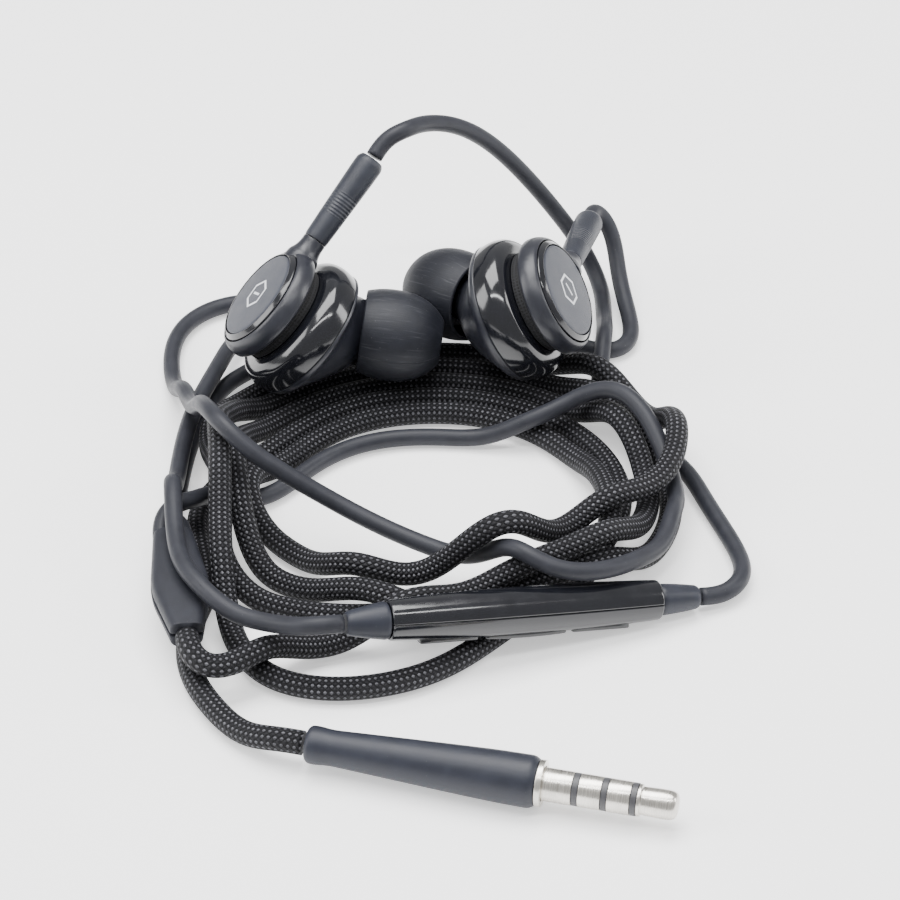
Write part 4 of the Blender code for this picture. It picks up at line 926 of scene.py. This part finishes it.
def plug():
    """Profiles turned about the plug's axis: handle, collar, then the bands of the pin one
    after another with a seam between, and the tip with its core rod."""
    lying = Place(np.array(PLUG["place"]) - FOOTPRINT_MIDDLE, turn_about("Z", PLUG["heading"]))
    where = lying.inner((0, 0, 0), turn_about("Y", 90))
    long = HANDLE_LENGTH
    handle = [
        (0, 0), (HANDLE_R - 0.36, 0, 0.1), (HANDLE_R, -0.55, 0.45), (HANDLE_R - 0.04, -long * 0.18, 3.0),
        (HANDLE_R - 0.3, -long * 0.42, 4.0), (HANDLE_END_R + 0.05, -long * 0.75, 3.5),
        (HANDLE_END_R - 0.13, -long + 2.5, 0.9), (HANDLE_END_R + 0.03, -long + 1.2, 0.7),
        (HANDLE_END_R, -long + 0.3, 0.3), (HANDLE_END_R - 0.35, -long, 0.1), (0, -long),
    ]
    made = [stands_for(turned("handle", handle, "soft_black", where), "plug_handle")]
    mouth, collar_end = JACK_R + FIT, COLLAR_LENGTH + SEAM
    collar = [(COLLAR_R, collar_end), (COLLAR_R, SEAM), (mouth, SEAM), (mouth, collar_end)]
    collar_made = turned("collar", collar, "jack_metal", where, closed=True, radius=0.06)
    made.append(stands_for(collar_made, "plug_collar"))
    x = SEAM
    for node, length in (
        ("jack_sleeve", COLLAR_LENGTH + SEAM + JACK_SLEEVE), ("jack_insulator_1", INSULATOR),
        ("jack_ring_2", JACK_RING), ("jack_insulator_2", INSULATOR),
        ("jack_ring_1", JACK_RING), ("jack_insulator_3", INSULATOR),
    ):
        metal = "insulator" not in node
        r = JACK_R if metal else JACK_R - 0.03
        band = [(r, x + length), (r, x), (0.55, x), (0.55, x + length)]
        skin = "jack_metal" if metal else "insulator"
        band_made = turned(node + "_band", band, skin, where, closed=True, radius=0.03)
        made.append(stands_for(band_made, node))
        x += length + SEAM
    end = COLLAR_LENGTH + SEAM + JACK_LENGTH
    tip = [
        (0, end), (JACK_R * 0.5, end - 0.03, 0.3), (JACK_R * 0.8, end - 0.3, 0.35),
        (JACK_R * 0.88, end - 0.95, 0.5), (JACK_R * 0.88, end - 2.0, 0.3), (JACK_R * 0.84, x + 0.55, 0.1),
        (JACK_R * 0.84, x + 0.4, 0.05), (JACK_R * 0.96, x + 0.32, 0.05), (JACK_R * 0.96, x, 0.03),
        (0.45, x), (0.45, SEAM), (0, SEAM),
    ]
    made.append(stands_for(turned("tip", tip, "jack_metal", where, radius=0.05), "jack_tip"))
    return made


# ---------------------------------------------------------------- cords
def stem_exit(pose):
    """Where a cord leaves a bud's stem, and the next point straight along the stem."""
    turn = frame_of(heading(*pose["out"]), heading(*pose["stem"]))
    end = np.array(pose["place"]) + turn @ (0, STEM_END + GAP, STEM_Z)
    return end, end + turn @ (0, 3.0, 0)


def remote_exit(sign):
    """Where a cord leaves the remote's left (-1) or right (1) end, and the next point."""
    left, right = np.array(REMOTE["left"]), np.array(REMOTE["right"])
    along = unit(right - left) * sign
    end = (left + right) / 2 + along * (BODY_LENGTH / 2 + FIT + RELIEF_LENGTH + GAP)
    return end, end + along * 3.0


def splitter_exit(x, y):
    """A point in the splitter's own plane: x across it and y down its length."""
    return splitter_place()((x, y, 0))


def plug_exit(reach):
    """A point on the plug's axis, reach behind the end of its handle."""
    return np.array(PLUG["place"]) + turn_about("Z", PLUG["heading"]) @ (-HANDLE_LENGTH - reach, 0, 0)


def cord_lines():
    """The same four routes as the part's, laid on the table and over each other."""
    port, mouth = RUBBER_D / 2 + 0.2, SPLITTER_LENGTH + GAP
    left_stem = [(*p, FREE) for p in stem_exit(LEFT_BUD)]
    right_stem = [(*p, FREE) for p in stem_exit(RIGHT_BUD)]
    into_remote = [(*p, 0.5) for p in reversed(remote_exit(1))]
    out_of_remote = [(*p, 8.0) for p in remote_exit(-1)]
    left_port = [(*splitter_exit(-port, -GAP - k), 1.4) for k in (2.0, 0.0)]
    right_port = [(*splitter_exit(port, -GAP - k), 1.5) for k in (2.0, 0.0)]
    plug_end = [(*plug_exit(GAP + k), 0.0) for k in (0.0, 3.0)]
    run = [(x, y, BRAID_D / 2, 0.0) for x, y in PLUG_RUN]
    coil_end = [(x, y, BRAID_D / 2, 7.0) for x, y in COIL_END]
    splitter_mouth = [(*splitter_exit(0, mouth + k), 7.0) for k in (2.5, 0.0)]
    cords = {
        "left_bud_cord": (left_stem + list(LEFT_CORD) + into_remote, RUBBER_D),
        "remote_cord": (out_of_remote + list(REMOTE_CORD) + left_port, RUBBER_D),
        "right_bud_cord": (right_stem + list(RIGHT_CORD) + right_port, RUBBER_D),
        "braided_cord": (plug_end + run + coil_points() + coil_end + splitter_mouth, BRAID_D),
    }
    laid = {name: (route(points, SAMPLE), d / 2) for name, (points, d) in cords.items()}
    lay_cords(list(laid.values()))
    lines = {}
    for name, (cord, _) in laid.items():
        line = cord[:, :3].copy()
        for _ in range(4):
            line[1:-1] = (line[:-2] + 2 * line[1:-1] + line[2:]) / 4
        lines[name] = eased(line, 2)
    return lines


def cords(plug_pieces):
    lines = cord_lines()
    for name, line in lines.items():
        braided = name == "braided_cord"
        diameter, skin = (BRAID_D, "braid") if braided else (RUBBER_D, "rubber_grey")
        stands_for(tube(name + "_tube", line, diameter, skin, 32 if braided else 28), name)
    for name, line in lines.items():
        path = (line - FOOTPRINT_MIDDLE) * MM
        if name == "braided_cord":
            path = path[::-1]


# ---------------------------------------------------------------- the rest of the scene
def inner_pieces():
    """The CAD pieces that stay hidden inside keep their own meshes."""
    skins = {"woofer_frame": "steel", "woofer_diaphragm": "membrane", "tweeter": "steel", "board": "board",
             "dome_switch": "steel", "capsule": "steel", "crimp": "steel"}
    for name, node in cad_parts.items():
        for ending, skin in skins.items():
            if name.endswith(ending):
                node.data.materials.clear()
                node.data.materials.append(FINISH[skin])


def camera():
    """A long lens that looks down at the table by CAMERA_DOWN degrees."""
    data = bpy.data.cameras.new("camera")
    data.lens, data.sensor_width = CAMERA_LENS, 36.0
    data.clip_start, data.clip_end = 0.01, 10.0
    obj = bpy.data.objects.new("camera", data)
    obj.location = [v * MM for v in np.array(CAMERA_PLACE) - FOOTPRINT_MIDDLE]
    obj.rotation_euler = (math.radians(90.0 - CAMERA_DOWN), 0.0, 0.0)
    bpy.context.scene.collection.objects.link(obj)
    bpy.context.scene.camera = obj


def light(name, place, aim, size, watts):
    """A rectangular soft box at place, in metres, turned to face aim."""
    data = bpy.data.lights.new(name, "AREA")
    data.shape, data.size, data.size_y = "RECTANGLE", size[0], size[1]
    data.energy = watts
    obj = bpy.data.objects.new(name, data)
    obj.location = place
    away = unit(np.array(place) - np.array(aim))
    side = unit(np.cross((0, 0, 1), away)) if abs(away[2]) < 0.999 else np.array((1.0, 0, 0))
    turn = np.column_stack((side, np.cross(away, side), away))
    obj.rotation_euler = Matrix(turn.tolist()).to_euler()
    bpy.context.scene.collection.objects.link(obj)


def stage():
    """A pale table in a white room, and four soft boxes."""
    mesh = bpy.data.meshes.new("table")
    corners = [(x, y, -0.0002) for x, y in ((-3, -3), (3, -3), (3, 6), (-3, 6))]
    mesh.from_pydata(corners, [], [(0, 1, 2, 3)])
    table = bpy.data.objects.new("table", mesh)
    bpy.context.scene.collection.objects.link(table)
    paper = bpy.data.materials.new("table")
    paper.use_nodes = True
    shader = paper.node_tree.nodes["Principled BSDF"]
    shader.inputs["Base Color"].default_value = (0.93, 0.93, 0.935, 1)
    shader.inputs["Roughness"].default_value = 0.6
    shader.inputs["Emission Color"].default_value = (1, 1, 1, 1)
    shader.inputs["Emission Strength"].default_value = 0.62
    mesh.materials.append(paper)
    world = bpy.data.worlds.new("room")
    bpy.context.scene.world = world
    world.use_nodes = True
    world.node_tree.nodes["Background"].inputs["Color"].default_value = (1, 1, 1, 1)
    world.node_tree.nodes["Background"].inputs["Strength"].default_value = 0.6
    light("over", (-0.05, 0.1, 0.5), (0, 0, 0), (0.45, 0.3), 5.0)
    light("strip", (0.02, -0.16, 0.42), (0, 0, 0), (0.5, 0.03), 1.2)
    light("left", (-0.5, -0.1, 0.3), (0, 0, 0), (0.25, 0.35), 2.2)
    light("right", (0.5, 0.0, 0.25), (0, 0, 0), (0.15, 0.35), 1.6)


def main():
    """Finishes, camera and stage, then the pieces."""
    make_finishes()
    camera()
    stage()
    bud("left", LEFT_BUD, 1)
    bud("right", RIGHT_BUD, -1)
    remote()
    splitter()
    plug_pieces = plug()
    cords(plug_pieces)
    inner_pieces()


main()
